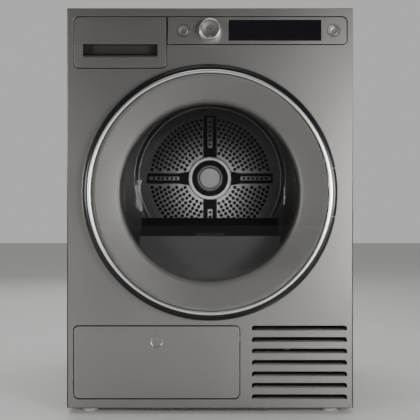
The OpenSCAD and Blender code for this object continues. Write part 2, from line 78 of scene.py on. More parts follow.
PANEL_X, _, PANEL_Z = span("front_panel")
DOOR_X, _, DOOR_Z = span("door_bezel")
DOOR_R = (DOOR_Z[1] - DOOR_Z[0]) / 2
DOOR_AT = (0.0, middle(DOOR_Z))
DRUM_X, DRUM_D, DRUM_Z = span("drum_shell")
DRUM_R = (DRUM_X[1] - DRUM_X[0]) / 2
DRUM_AT = (0.0, middle(DRUM_Z))
DRAWER_X, _, DRAWER_Z = span("drawer_front")
FASCIA_X, _, FASCIA_Z = span("control_panel")
FLAP_X = (PANEL_X[0] + 14, span("service_flap")[0][1] - 9)
FLAP_Z = span("service_flap")[2]
KNOB_AT = (0.0, middle(span("knob_ring")[2]))
POWER_AT = (middle(span("power_button")[0]), KNOB_AT[1])
START_AT = (middle(span("start_button")[0]), KNOB_AT[1])
GLASS_R = (span("door_glass")[0][1] - span("door_glass")[0][0]) / 2
TRIM_R = (span("door_trim_ring")[0][1] - span("door_trim_ring")[0][0]) / 2


# Settings -------------------------------------------------------------------------------


def colour(name, text, value):
    return FloatVectorProperty(
        name=name, description=text, default=value, subtype="COLOR", size=3, min=0, max=1
    )


class DryerFinishes(bpy.types.PropertyGroup):
    graphite: colour("Graphite", "Metallic paint of the casing", (0.30, 0.29, 0.28))
    frame_grey: colour("Frame grey", "Ring behind the door glass", (0.235, 0.232, 0.226))
    # Piano black also gives the black that is painted as shade in seams, grooves and the drum.
    piano_black: colour("Piano black", "Door ring and display", (0.008, 0.008, 0.009))
    # Dark plastic is also the base of the painted light on the filter seat and of the painted shade
    # on the drawer's lip and pocket, the filter and the filter seat's roof.
    dark: colour("Dark plastic", "Filter seat, tray and other mouldings", (0.030, 0.030, 0.032))
    pale: colour("Pale plastic", "Lifters, filter and feet", (0.42, 0.42, 0.43))
    chrome: colour("Chrome", "Trim ring and selector ring", (0.86, 0.86, 0.87))
    # Drum steel is also darkened into painted shade for the drum's side wall.
    drum_steel: colour("Drum steel", "Drum and hub", (0.50, 0.50, 0.51))
    zinc: colour("Zinc", "Galvanised sheet", (0.50, 0.51, 0.52))
    paint_roughness: FloatProperty(
        name="Paint roughness", description="Softness of the casing's sheen", default=0.36,
        min=0.1, max=0.9,
    )


class DryerShapes(bpy.types.PropertyGroup):
    corner: FloatProperty(
        name="Corner", description="Corner radius of the drawer, fascia and flap, in mm",
        default=11.0, min=4, max=20,
    )
    seam: FloatProperty(
        name="Seam", description="Gap round the drawer, fascia and flap, in mm",
        default=1.2, min=0.6, max=2,
    )
    edge: FloatProperty(
        name="Edge", description="Radius of the casing's folded edges, in mm", default=2.4,
        min=1, max=4,
    )
    louvers: IntProperty(name="Louvers", description="Number of air slots", default=7, min=1, max=7)
    louver_pitch: FloatProperty(
        name="Louver pitch", description="Distance between air slots, in mm", default=24.0,
        min=20, max=24,
    )
    louver_height: FloatProperty(
        name="Louver height", description="Height of an air slot, in mm", default=9.6, min=6, max=12
    )
    hole_radius: FloatProperty(
        name="Hole radius", description="Radius of the drum back's holes, in mm", default=4.8,
        min=2, max=5,
    )
    hole_pitch: FloatProperty(
        name="Hole pitch", description="Distance between the drum back's holes, in mm",
        default=12.6, min=11, max=16,
    )
    hole_reach: FloatProperty(
        name="Hole reach", description="Radius of the perforated field, in mm", default=164.0,
        min=120, max=175,
    )


class DryerStudio(bpy.types.PropertyGroup):
    key: FloatProperty(
        name="Key light", description="Power of the right softbox, in watts", default=46.0
    )
    fill: FloatProperty(
        name="Fill light", description="Power of the left softbox, in watts", default=24.0
    )
    top: FloatProperty(
        name="Top light", description="Power of the overhead softbox, in watts", default=18.0
    )
    drum: FloatProperty(
        name="Drum light", description="Power of the lamp at the drum's mouth, in watts",
        default=0.05
    )
    backdrop: FloatProperty(
        name="Backdrop", description="Strength of the surround behind the dryer", default=0.52
    )
    room: FloatProperty(
        name="Room", description="Strength of the surround before the dryer", default=0.085
    )
    distance: FloatProperty(
        name="Distance", description="Camera distance from the front panel, in metres",
        default=1.8, unit="LENGTH",
    )
    height: FloatProperty(
        name="Height", description="Camera height above the floor, in metres", default=0.4263,
        unit="LENGTH",
    )
    width: FloatProperty(
        name="Width", description="Width of the view at the front panel, in metres",
        default=0.8793, unit="LENGTH",
    )


def finishes():
    return bpy.context.scene.dryer_finishes


def shapes():
    return bpy.context.scene.dryer_shapes


# Materials ------------------------------------------------------------------------------


def start_material(name):
    """A material with an empty tree and its output; returns the tree and an adder of nodes."""
    material = bpy.data.materials.new(name)
    material.use_nodes = True
    tree = material.node_tree
    tree.nodes.clear()
    output = tree.nodes.new("ShaderNodeOutputMaterial")

    def add(kind, **values):
        node = tree.nodes.new(kind)
        for key, value in values.items():
            setattr(node, key, value)
        return node

    return material, tree, add, output


def stretched_noise(tree, add, scale, stretch, detail=3.0):
    """Noise on Object coordinates, stretched by a scale for each axis."""
    place = add("ShaderNodeTexCoord")
    mapping = add("ShaderNodeMapping")
    mapping.inputs["Scale"].default_value = stretch
    noise = add("ShaderNodeTexNoise")
    noise.inputs["Scale"].default_value = scale
    noise.inputs["Detail"].default_value = detail
    tree.links.new(place.outputs["Object"], mapping.inputs["Vector"])
    tree.links.new(mapping.outputs["Vector"], noise.inputs["Vector"])
    return noise


def ramp(tree, add, source, low, high, start=0.3, end=0.7):
    node = add("ShaderNodeValToRGB")
    node.color_ramp.elements[0].position = start
    node.color_ramp.elements[1].position = end
    node.color_ramp.elements[0].color = (*low, 1)
    node.color_ramp.elements[1].color = (*high, 1)
    tree.links.new(source, node.inputs["Fac"])
    return node.outputs["Color"]


def spread(tree, add, source, low, high):
    """Maps a 0 to 1 value on to a range."""
    node = add("ShaderNodeMapRange")
    node.inputs["To Min"].default_value = low
    node.inputs["To Max"].default_value = high
    tree.links.new(source, node.inputs["Value"])
    return node.outputs["Result"]


def tint(base, factor):
    return tuple(min(1.0, c * factor) for c in base)


def grained(
    name, base, metallic=0.0, roughness=0.5, grain=900.0, stretch=(1, 1, 1), vary=0.08,
    rough_vary=0.05, bump=0.15, bump_mm=0.05, specular=0.5, coat=0.0, coat_roughness=0.1,
    sheen=0.0,
):
    """A surface with grain in its colour, its roughness and its height."""
    material, tree, add, output = start_material(name)
    noise = stretched_noise(tree, add, grain, stretch)
    cloud = stretched_noise(tree, add, 9.0, (1, 1, 1), 2.0)
    mixer = add("ShaderNodeMix", data_type="FLOAT")
    mixer.inputs["Factor"].default_value = 0.35
    tree.links.new(noise.outputs["Fac"], mixer.inputs["A"])
    tree.links.new(cloud.outputs["Fac"], mixer.inputs["B"])
    blend = mixer.outputs["Result"]
    shader = add("ShaderNodeBsdfPrincipled")
    shader.inputs["Metallic"].default_value = metallic
    shader.inputs["Specular IOR Level"].default_value = specular
    shader.inputs["Coat Weight"].default_value = coat
    shader.inputs["Coat Roughness"].default_value = coat_roughness
    shader.inputs["Sheen Weight"].default_value = sheen
    tree.links.new(
        ramp(tree, add, blend, tint(base, 1 - vary), tint(base, 1 + vary)),
        shader.inputs["Base Color"],
    )
    tree.links.new(
        spread(tree, add, blend, max(0.02, roughness - rough_vary), roughness + rough_vary),
        shader.inputs["Roughness"],
    )
    height = add("ShaderNodeBump")
    height.inputs["Strength"].default_value = bump
    height.inputs["Distance"].default_value = bump_mm * MM
    tree.links.new(noise.outputs["Fac"], height.inputs["Height"])
    tree.links.new(height.outputs["Normal"], shader.inputs["Normal"])
    tree.links.new(shader.outputs["BSDF"], output.inputs["Surface"])
    return material


def clear_glass(name, passing, roughness=0.0, ior=1.5):
    """Thin glass: light goes straight through, and only outer faces mirror their Fresnel share."""
    material, tree, add, output = start_material(name)
    smear = stretched_noise(tree, add, 14.0, (1, 1, 1), 2.0)
    see = add("ShaderNodeBsdfTransparent")
    tree.links.new(
        ramp(tree, add, smear.outputs["Fac"], tint(passing, 0.985), passing), see.inputs["Color"]
    )
    mirror = add("ShaderNodeBsdfGlossy")
    mirror.inputs["Roughness"].default_value = roughness
    mirror.inputs["Color"].default_value = (1, 1, 1, 1)
    share = add("ShaderNodeFresnel")
    share.inputs["IOR"].default_value = ior
    side = add("ShaderNodeNewGeometry")
    outside = add("ShaderNodeMath", operation="SUBTRACT")
    outside.inputs[0].default_value = 1.0
    tree.links.new(side.outputs["Backfacing"], outside.inputs[1])
    mirrored = add("ShaderNodeMath", operation="MULTIPLY")
    tree.links.new(share.outputs["Fac"], mirrored.inputs[0])
    tree.links.new(outside.outputs["Value"], mirrored.inputs[1])
    mix = add("ShaderNodeMixShader")
    tree.links.new(mirrored.outputs["Value"], mix.inputs["Fac"])
    tree.links.new(see.outputs["BSDF"], mix.inputs[1])
    tree.links.new(mirror.outputs["BSDF"], mix.inputs[2])
    tree.links.new(mix.outputs["Shader"], output.inputs["Surface"])
    return material


def turned_metal(name, base, centre, roughness=0.28):
    """Metal turned on a lathe: fine rings about an axis along Y, with a radial sheen."""
    material, tree, add, output = start_material(name)
    place = add("ShaderNodeTexCoord")
    shift = add("ShaderNodeVectorMath", operation="SUBTRACT")
    shift.inputs[1].default_value = (centre[0] * MM, 0, centre[1] * MM)
    flat = add("ShaderNodeVectorMath", operation="MULTIPLY")
    flat.inputs[1].default_value = (1, 0, 1)
    across = add("ShaderNodeVectorMath", operation="CROSS_PRODUCT")
    across.inputs[1].default_value = (0, 1, 0)
    unit = add("ShaderNodeVectorMath", operation="NORMALIZE")
    reach = add("ShaderNodeVectorMath", operation="LENGTH")
    rings = add("ShaderNodeTexNoise", noise_dimensions="1D")
    rings.inputs["Scale"].default_value = 2600.0
    tree.links.new(place.outputs["Object"], shift.inputs[0])
    tree.links.new(shift.outputs["Vector"], flat.inputs[0])
    tree.links.new(flat.outputs["Vector"], across.inputs[0])
    tree.links.new(across.outputs["Vector"], unit.inputs[0])
    tree.links.new(flat.outputs["Vector"], reach.inputs[0])
    tree.links.new(reach.outputs["Value"], rings.inputs["W"])
    shader = add("ShaderNodeBsdfPrincipled")
    shader.inputs["Metallic"].default_value = 1.0
    shader.inputs["Anisotropic"].default_value = 0.85
    tree.links.new(
        ramp(tree, add, rings.outputs["Fac"], tint(base, 0.82), tint(base, 1.12)),
        shader.inputs["Base Color"],
    )
    tree.links.new(
        spread(tree, add, rings.outputs["Fac"], roughness - 0.06, roughness + 0.08),
        shader.inputs["Roughness"],
    )
    tree.links.new(unit.outputs["Vector"], shader.inputs["Tangent"])
    tree.links.new(shader.outputs["BSDF"], output.inputs["Surface"])
    return material


def spangled_zinc(name, base):
    """Hot-dip zinc: crystals of slightly different brightness."""
    material, tree, add, output = start_material(name)
    place = add("ShaderNodeTexCoord")
    cells = add("ShaderNodeTexVoronoi")
    cells.inputs["Scale"].default_value = 90.0
    tree.links.new(place.outputs["Object"], cells.inputs["Vector"])
    shader = add("ShaderNodeBsdfPrincipled")
    shader.inputs["Metallic"].default_value = 1.0
    tree.links.new(
        ramp(tree, add, cells.outputs["Color"], tint(base, 0.85), tint(base, 1.1), 0.1, 0.9),
        shader.inputs["Base Color"],
    )
    tree.links.new(
        spread(tree, add, cells.outputs["Color"], 0.36, 0.52), shader.inputs["Roughness"]
    )
    tree.links.new(shader.outputs["BSDF"], output.inputs["Surface"])
    return material


def board_lacquer(name):
    """Green solder lacquer over a grid of tracks."""
    material, tree, add, output = start_material(name)
    place = add("ShaderNodeTexCoord")
    tracks = add("ShaderNodeTexBrick")
    tracks.inputs["Scale"].default_value = 160.0
    tracks.inputs["Color1"].default_value = (0.012, 0.10, 0.035, 1)
    tracks.inputs["Color2"].default_value = (0.016, 0.13, 0.045, 1)
    tracks.inputs["Mortar"].default_value = (0.10, 0.22, 0.09, 1)
    shader = add("ShaderNodeBsdfPrincipled")
    shader.inputs["Roughness"].default_value = 0.35
    tree.links.new(place.outputs["Object"], tracks.inputs["Vector"])
    tree.links.new(tracks.outputs["Color"], shader.inputs["Base Color"])
    tree.links.new(shader.outputs["BSDF"], output.inputs["Surface"])
    return material


MATERIALS = {}


def make_materials():
    """All finishes of the dryer, by name."""
    f = finishes()
    steel, grey = tuple(f.graphite), tuple(f.frame_grey)
    MATERIALS.update(
        graphite=grained(
            "graphite_paint", steel, 1.0, f.paint_roughness, 2600, (1, 1, 1), 0.05, 0.03, 0.25,
            0.012
        ),
        brushed_graphite=grained(
            "brushed_graphite", steel, 1.0, f.paint_roughness, 700, (0.02, 1, 1), 0.05, 0.04, 0.2,
            0.02
        ),
        frame_grey=grained("frame_grey", grey, 0.75, 0.48, 2400, vary=0.04, bump_mm=0.01),
        piano_black=grained(
            "piano_black", tuple(f.piano_black), 0.0, 0.24, 1200, vary=0.2, bump_mm=0.004,
            specular=0.3
        ),
        # Painted shade: this black is laid where the real parts would only show shade, in the seams,
        # the button grooves, behind the drum's holes, in its spoke channels and round the hub.
        satin_black=grained(
            "satin_black", tint(f.piano_black, 1.5), 0.0, 0.42, 2500, bump_mm=0.02, specular=0.15
        ),
        chrome=grained(
            "chrome", tuple(f.chrome), 1.0, 0.30, 1800, (1, 1, 1), 0.03, 0.04, 0.1, 0.006
        ),
        drum_steel=grained(
            "drum_steel", tuple(f.drum_steel), 1.0, 0.36, 600, (1, 0.03, 1), 0.08, 0.08, 0.2, 0.02
        ),
        # Painted shade: the drum steel darkened for the drum's side wall, which stands in shade.
        wall_steel=grained(
            "wall_steel", tint(f.drum_steel, 0.45), 1.0, 0.42, 600, (1, 0.03, 1), 0.08, 0.08, 0.2,
            0.02
        ),
        hub_steel=turned_metal("hub_steel", tint(f.drum_steel, 0.6), DRUM_AT, 0.34),
        zinc=spangled_zinc("spangled_zinc", tuple(f.zinc)),
        bracket=grained("bracket_steel", tuple(f.zinc), 1.0, 0.4, 500, (1, 1, 0.1), bump_mm=0.01),
        # Real dark plastic; on the drawer's rolled lip and the lint filter this dark is painted
        # shade.
        dark=grained(
            "dark_plastic", tuple(f.dark), 0.0, 0.55, 1600, vary=0.12, bump=0.3, bump_mm=0.05
        ),
        # Painted light: the dark plastic brightened for the filter seat's face, which is lit only
        # through the door glass.
        seat_plastic=grained(
            "seat_plastic", tint(f.dark, 6.5), 0.0, 0.45, 1600, vary=0.03, bump=0.03, bump_mm=0.01
        ),
        # Real black plastic; on the drawer's pocket and the filter seat's roof this black is painted
        # shade.
        black=grained("black_plastic", tint(f.dark, 0.5), 0.0, 0.5, 1600, vary=0.12, bump_mm=0.05),
        pale=grained("pale_plastic", tuple(f.pale), 0.0, 0.45, 1500, vary=0.04, bump_mm=0.03),
        tank=grained("tank_plastic", (0.60, 0.62, 0.64), 0.0, 0.35, 300, vary=0.04, bump_mm=0.04),
        lever=grained("lever_plastic", (0.03, 0.16, 0.34), 0.0, 0.4, 1500, bump_mm=0.03),
        rubber=grained(
            "soft_rubber", (0.018, 0.018, 0.019), 0.0, 0.7, 1300, vary=0.2, bump_mm=0.05
        ),
        felt=grained(
            "drum_felt", (0.55, 0.53, 0.49), 0.0, 0.95, 1400, vary=0.15, bump=0.8, bump_mm=0.3,
            sheen=0.4,
        ),
        fins=grained(
            "fin_aluminium", (0.70, 0.71, 0.72), 1.0, 0.35, 400, (1, 1, 0.2), bump_mm=0.02
        ),
        pump=grained("pump_paint", (0.018, 0.018, 0.02), 0.0, 0.3, 900, vary=0.2, coat=0.3),
        board=board_lacquer("circuit_board"),
        display=grained(
            "display_glass", (0.004, 0.004, 0.005), 0.0, 0.06, 20, vary=0.3, rough_vary=0.02,
            bump=0.0, coat=0.6, coat_roughness=0.02,
        ),
        lint_screen=grained(
            "lint_screen", (0.20, 0.20, 0.21), 0.2, 0.5, 3000, vary=0.25, bump=0.5, bump_mm=0.1
        ),
        glass=clear_glass("door_glass", (0.90, 0.90, 0.895)),
        bowl=clear_glass("bowl_glass", (0.80, 0.80, 0.795), 0.02, 1.22),
        mark=grained("mark_ink", (0.05, 0.05, 0.052), 0.0, 0.5, 900),
    )


# Shape tools ----------------------------------------------------------------------------


def on_front(x, z, d):
    """Metres in the row frame of a point given in this file's terms."""
    return Vector((x * MM, (FRONT_Y - d) * MM, z * MM))


def arc(cx, cy, r, start, end, steps):
    """Points of an arc, angles in degrees, both ends included."""
    turn = [math.radians(start + (end - start) * i / steps) for i in range(steps + 1)]
    return [(cx + r * math.cos(a), cy + r * math.sin(a)) for a in turn]


def circle(cx, cy, r, steps=96):
    return arc(cx, cy, r, 0, 360, steps)[:-1]


def rounded(corners, steps=6):
    """A closed outline with its corners rounded; a corner is (x, y) or (x, y, radius)."""
    points = []
    count = len(corners)
    for i, corner in enumerate(corners):
        here = Vector(corner[:2])
        r = corner[2] if len(corner) > 2 else 0
        before = (Vector(corners[i - 1][:2]) - here).normalized()
        after = (Vector(corners[(i + 1) % count][:2]) - here).normalized()
        half = before.angle(after, math.pi) / 2
        if r <= 0 or half > math.radians(89):
            points.append(tuple(here))
            continue
        bisector = (before + after).normalized()
        centre = here + bisector * (r / math.sin(half))
        first = here + before * (r / math.tan(half)) - centre
        swing = first.angle_signed(here + after * (r / math.tan(half)) - centre)
        for k in range(steps + 1):
            turn = Matrix.Rotation(-swing * k / steps, 2)
            points.append(tuple(centre + turn @ first))
    return points


def frame_outline(x, z, radii, grow=0.0):
    """A rectangle's outline with corner radii: top right, top left, bottom left, bottom right."""
    r = [max(0.0, value + grow) if value else 0.0 for value in radii]
    left, right, low, high = x[0] - grow, x[1] + grow, z[0] - grow, z[1] + grow
    return rounded(
        [(right, high, r[0]), (left, high, r[1]), (left, low, r[2]), (right, low, r[3])], 8
    )


def inset(outline, amount):
    """Each point of a closed outline moved inward along its corner's normal."""
    area = sum(a[0] * b[1] - b[0] * a[1] for a, b in zip(outline, outline[1:] + outline[:1]))
    side = 1 if area > 0 else -1
    result = []
    for i, point in enumerate(outline):
        here = Vector(point)
        back = here - Vector(outline[i - 1])
        ahead = Vector(outline[(i + 1) % len(outline)]) - here
        if back.length < 1e-6:
            back = ahead
        if ahead.length < 1e-6:
            ahead = back
        back, ahead = back.normalized(), ahead.normalized()
        n1 = Vector((-back.y, back.x)) * side
        n2 = Vector((-ahead.y, ahead.x)) * side
        normal = (n1 + n2)
        normal = normal / max(0.3, normal.length_squared / 2)
        result.append(tuple(here + normal * amount))
    return result


def skin(bm, rings, closed_ring=True, closed_loft=False):
    """Faces between rings of points that all have one length."""
    rows = [[bm.verts.new(point) for point in ring] for ring in rings]
    pairs = list(zip(rows, rows[1:]))
    if closed_loft:
        pairs.append((rows[-1], rows[0]))
    for a, b in pairs:
        count = len(a)
        for i in range(count if closed_ring else count - 1):
            j = (i + 1) % count
            bm.faces.new((a[i], a[j], b[j], b[i]))
    return rows


def fill(bm, loops, d):
    """A flat face at distance d from an outline and the outlines of its holes."""
    edges = []
    for loop in loops:
        verts = [bm.verts.new(on_front(x, z, d)) for x, z in loop]
        edges += [bm.edges.new((a, b)) for a, b in zip(verts, verts[1:] + verts[:1])]
    bmesh.ops.triangle_fill(bm, use_beauty=True, use_dissolve=False, edges=edges)


def tidy(bm, weld=0.00002):
    bmesh.ops.remove_doubles(bm, verts=bm.verts, dist=weld)
    bmesh.ops.dissolve_degenerate(bm, edges=bm.edges, dist=1e-7)
    bmesh.ops.recalc_face_normals(bm, faces=bm.faces)


def to_object(bm, name, smooth_angle=32.0, flat_faces=False):
    """A new object; flat_faces keeps the filled faces flat up to their rounded borders."""
    borders = set()
    if flat_faces:
        bm.edges.index_update()
        borders = {
            edge.index for edge in bm.edges
            if len(edge.link_faces) == 2
            and len({len(face.verts) == 3 for face in edge.link_faces}) == 2
            and edge.calc_face_angle() > math.radians(2)
        }
    mesh = bpy.data.meshes.new(name)
    bm.to_mesh(mesh)
    bm.free()
    mesh.shade_smooth()
    mesh.set_sharp_from_angle(angle=math.radians(smooth_angle))
    for index in borders:
        mesh.edges[index].use_edge_sharp = True
    piece = bpy.data.objects.new(name, mesh)
    bpy.context.scene.collection.objects.link(piece)
    return piece


def settle(piece, material, body, slot, replaces=()):
    """Gives a finished piece its material and its body, and hides the nodes it stands for; the slot
    is not used.
    """
    piece.data.materials.clear()
    piece.data.materials.append(MATERIALS[material])
    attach(piece, body)
    if replaces:
        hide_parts(*replaces)
    return piece


def build(bm, name, *settings, **look):
    """A finished piece from its bmesh: settings go to settle, look to to_object."""
    return settle(to_object(bm, name, **look), *settings)


def revolve(name, profile, centre, steps=256, smooth_angle=32.0, close=True, sweep=None):
    """Turns an (r, d) outline about an axis along Y; sweep gives a part turn in degrees."""
    bm = bmesh.new()
    low, high = sweep or (0.0, 360.0)
    count = steps if not sweep else max(2, int(steps * (high - low) / 360))
    rings = []
    for i in range(count + (1 if sweep else 0)):
        a = math.radians(low + (high - low) * i / count)
        rings.append([
            on_front(centre[0] + r * math.cos(a), centre[1] + r * math.sin(a), d)
            for r, d in profile
        ])
    rows = skin(bm, rings, closed_ring=close, closed_loft=not sweep)
    if sweep and close:
        bm.faces.new(rows[0])
        bm.faces.new(rows[-1])
    tidy(bm)
    return to_object(bm, name, smooth_angle)


def edge_round(edge, steps=4):
    """Section of a rounded edge as (inset, d), from the face to the side."""
    return [(edge - x, y - edge) for x, y in arc(0, 0, edge, 90, 0, steps)]


def folded_edge(edge, depth, sheet, steps=5):
    """Section of a folded sheet's edge as (inset, d): from the front face round to its back."""
    outer = edge_round(edge, steps)
    inner_r = max(0.2, edge - sheet)
    inner = [(edge - x, y - edge) for x, y in arc(0, 0, inner_r, 0, 90, steps)]
    return outer + [(0, -depth), (sheet, -depth)] + inner


def pan(bm, outline, holes, section, base_d=0.0, hole_edge=0.4):
    """A closed sheet or lid: a face with holes, edges bent back by a section, and its back."""
    rings = []
    for inward, d in section:
        rings.append([on_front(x, z, base_d + d) for x, z in inset(outline, inward)])
    skin(bm, rings)
    face_d, back_d = base_d + section[0][1], base_d + section[-1][1]
    rounds = [(hole_edge, 0), (hole_edge * 0.3, -hole_edge * 0.3), (0, -hole_edge)]
    for hole in holes:
        ring = [[on_front(x, z, face_d + d) for x, z in inset(hole, -grow)] for grow, d in rounds]
        ring.append([on_front(x, z, back_d) for x, z in hole])
        skin(bm, ring)
    fill(bm, [inset(outline, section[0][0])] + [inset(hole, -hole_edge) for hole in holes], face_d)
    fill(bm, [inset(outline, section[-1][0])] + list(holes), back_d)


def soft_box(bm, x, d, z, r=1.0, steps=3):
    """A box with rounded edges."""
    sizes = Vector((x[1] - x[0], d[1] - d[0], z[1] - z[0])) * MM
    made = bmesh.ops.create_cube(bm, size=1.0)
    for vert in made["verts"]:
        vert.co = Vector((vert.co.x * sizes.x, vert.co.y * sizes.y, vert.co.z * sizes.z))
    centre = on_front(middle(x), middle(z), middle(d))
    bmesh.ops.translate(bm, verts=made["verts"], vec=centre)
    edges = list({edge for vert in made["verts"] for edge in vert.link_edges})
    bmesh.ops.bevel(bm, geom=edges, offset=r * MM, segments=steps, profile=0.5, affect="EDGES")


# Geometry Nodes -------------------------------------------------------------------------


def node_group(name, sockets):
    """An empty geometry tree with its inputs, its geometry output and an adder of nodes."""
    tree = bpy.data.node_groups.new(name, "GeometryNodeTree")
    tree.interface.new_socket("Geometry", in_out="INPUT", socket_type="NodeSocketGeometry")
    tree.interface.new_socket("Geometry", in_out="OUTPUT", socket_type="NodeSocketGeometry")
    for label, kind, default in sockets:
        made = tree.interface.new_socket(label, in_out="INPUT", socket_type=kind)
        if default is not None:
            made.default_value = default
    start = tree.nodes.new("NodeGroupInput")
    end = tree.nodes.new("NodeGroupOutput")
    return tree, start, end


def run_tree(host, tree, values):
    """Evaluates a tree on a host object and returns the result as a plain object."""
    modifier = host.modifiers.new("Repeat", "NODES")
    modifier.node_group = tree
    for item in tree.interface.items_tree:
        if item.in_out == "INPUT" and item.name in values:
            modifier[item.identifier] = values[item.name]
    seen = bpy.context.evaluated_depsgraph_get()
    seen.update()
    mesh = bpy.data.meshes.new_from_object(host.evaluated_get(seen))
    host.modifiers.remove(modifier)
    name = host.name
    bpy.data.objects.remove(host)
    mesh.name = name
    piece = bpy.data.objects.new(name, mesh)
    bpy.context.scene.collection.objects.link(piece)
    return piece


def repeat_tree():
    """Puts a prototype on every point, turned by the point's own angle about Y."""
    if "repeat_on_points" in bpy.data.node_groups:
        return bpy.data.node_groups["repeat_on_points"]
    tree, start, end = node_group("repeat_on_points", [
        ("Prototype", "NodeSocketObject", None), ("Scale", "NodeSocketFloat", 1.0),
        ("Finish", "NodeSocketMaterial", None),
    ])
    info = tree.nodes.new("GeometryNodeObjectInfo")
    put = tree.nodes.new("GeometryNodeInstanceOnPoints")
    turn = tree.nodes.new("GeometryNodeInputNamedAttribute")
    turn.data_type = "FLOAT_VECTOR"
    turn.inputs["Name"].default_value = "turn"
    real = tree.nodes.new("GeometryNodeRealizeInstances")
    finish = tree.nodes.new("GeometryNodeSetMaterial")
    links = tree.links
    links.new(start.outputs["Prototype"], info.inputs["Object"])
    links.new(info.outputs["Geometry"], put.inputs["Instance"])
    links.new(start.outputs["Geometry"], put.inputs["Points"])
    links.new(turn.outputs["Attribute"], put.inputs["Rotation"])
    links.new(start.outputs["Scale"], put.inputs["Scale"])
    links.new(put.outputs["Instances"], real.inputs["Geometry"])
    links.new(real.outputs["Geometry"], finish.inputs["Geometry"])
    links.new(start.outputs["Finish"], finish.inputs["Material"])
    links.new(finish.outputs["Geometry"], end.inputs["Geometry"])
    return tree


def repeat(name, prototype, places, material, smooth_angle=32.0):
    """Copies of a prototype at (point, angle about Y in degrees) places, by Geometry Nodes."""
    mesh = bpy.data.meshes.new(name)
    mesh.from_pydata([tuple(point) for point, _ in places], [], [])
    turns = mesh.attributes.new("turn", "FLOAT_VECTOR", "POINT")
    for i, (_, angle) in enumerate(places):
        turns.data[i].vector = (0, math.radians(angle), 0)
    host = bpy.data.objects.new(name, mesh)
    bpy.context.scene.collection.objects.link(host)
    piece = run_tree(host, repeat_tree(), {
        "Prototype": prototype, "Scale": 1.0, "Finish": MATERIALS[material],
    })
    bpy.data.objects.remove(prototype)
    piece.data.shade_smooth()
    piece.data.set_sharp_from_angle(angle=math.radians(smooth_angle))
    return piece


def perforated_tree():
    """Fills a ring between two circles, leaving a round hole at every point."""
    tree, start, end = node_group("perforated_ring", [
        ("Hole Radius", "NodeSocketFloat", 0.003), ("Inner Radius", "NodeSocketFloat", 0.06),
        ("Outer Radius", "NodeSocketFloat", 0.19), ("Finish", "NodeSocketMaterial", None),
    ])
    nodes, links = tree.nodes, tree.links
    hole = nodes.new("GeometryNodeCurvePrimitiveCircle")
    hole.inputs["Resolution"].default_value = 14
    put = nodes.new("GeometryNodeInstanceOnPoints")
    links.new(start.outputs["Hole Radius"], hole.inputs["Radius"])
    links.new(start.outputs["Geometry"], put.inputs["Points"])
    links.new(hole.outputs["Curve"], put.inputs["Instance"])
    join = nodes.new("GeometryNodeJoinGeometry")
    for label in ("Inner Radius", "Outer Radius"):
        border = nodes.new("GeometryNodeCurvePrimitiveCircle")
        border.inputs["Resolution"].default_value = 160
        links.new(start.outputs[label], border.inputs["Radius"])
        links.new(border.outputs["Curve"], join.inputs["Geometry"])
    links.new(put.outputs["Instances"], join.inputs["Geometry"])
    real = nodes.new("GeometryNodeRealizeInstances")
    area = nodes.new("GeometryNodeFillCurve")
    finish = nodes.new("GeometryNodeSetMaterial")
    links.new(join.outputs["Geometry"], real.inputs["Geometry"])
    links.new(real.outputs["Geometry"], area.inputs["Curve"])
    links.new(area.outputs["Mesh"], finish.inputs["Geometry"])
    links.new(start.outputs["Finish"], finish.inputs["Material"])
    links.new(finish.outputs["Geometry"], end.inputs["Geometry"])
    return tree


# Casing ---------------------------------------------------------------------------------

PANEL_EDGE = 0.7
SEAM_SHRINK = {"drawer": -0.8, "fascia": -0.7, "flap": -0.8}
SHEET = 1.5
FOLD = 18.0
MOUTH_R = 210.0
HINGE_SLOT = (-239.0, -226.0)
STRIKE_SLOT = (span("door_strike")[0][0] - 6, span("door_strike")[0][1] + 3)
LOUVER_X = (87.7, FASCIA_X[1])
LOUVER_TOP = FLAP_Z[1] + 0.4


def louver_tops():
    s = shapes()
    return [LOUVER_TOP - i * s.louver_pitch for i in range(s.louvers)]


def plain_hole(x, z, r=0.8):
    return frame_outline(x, z, (r, r, r, r))


def drawer_outline(grow=0.0):
    r = shapes().corner
    return frame_outline(DRAWER_X, DRAWER_Z, (0, r, r, r), grow)


def fascia_outline(grow=0.0):
    r = shapes().corner
    return frame_outline(FASCIA_X, FASCIA_Z, (r, 0, 0, r), grow)


def control_opening(grow):
    """The one opening that the drawer and the fascia share."""
    r = shapes().corner + grow
    left, right = DRAWER_X[0] - grow, FASCIA_X[1] + grow
    inner, top = DRAWER_X[1] + grow, FASCIA_Z[1] + grow
    return rounded([
        (right, top, r), (left, top, r), (left, DRAWER_Z[0] - grow, r),
        (inner, DRAWER_Z[0] - grow, r),
        (inner, FASCIA_Z[0] - grow), (right, FASCIA_Z[0] - grow, r),
    ], 8)


def flap_outline(grow=0.0):
    r = shapes().corner
    return frame_outline(FLAP_X, FLAP_Z, (r, r, r, r), grow)


def louver_prototype():
    """The pressed scoop below one slot, with its middle at the origin."""
    height = shapes().louver_height
    half = (LOUVER_X[1] - LOUVER_X[0]) / 2
    section = [
        (-11.0, 5.6), (-8.0, 5.3), (-5.0, 4.7), (-3.0, 3.6), (-1.7, 2.2), (-0.7, 0.9), (0.0, 0.0)
    ]
    back = [(-1.5, -0.5), (-2.6, 1.3), (-4.4, 3.0), (-7.0, 4.0), (-11.0, 4.4)]
    end, steps = 7.0, 5
    turns = [math.pi / 2 * i / steps for i in range(steps + 1)]
    stations = [(-half + 2 + end * (1 - math.cos(a)), math.sin(a)) for a in turns]
    stations += [(-x, rise) for x, rise in reversed(stations)]
    bm = bmesh.new()
    rings = []
    for x, rise in stations:
        shrink = 0.25 + 0.75 * rise
        rings.append([Vector((x, -d, z * shrink - height)) * MM for d, z in section + back])
    rows = skin(bm, rings)
    bm.faces.new(rows[0])
    bm.faces.new(rows[-1])
    tidy(bm)
    return to_object(bm, "louver_prototype", 50)


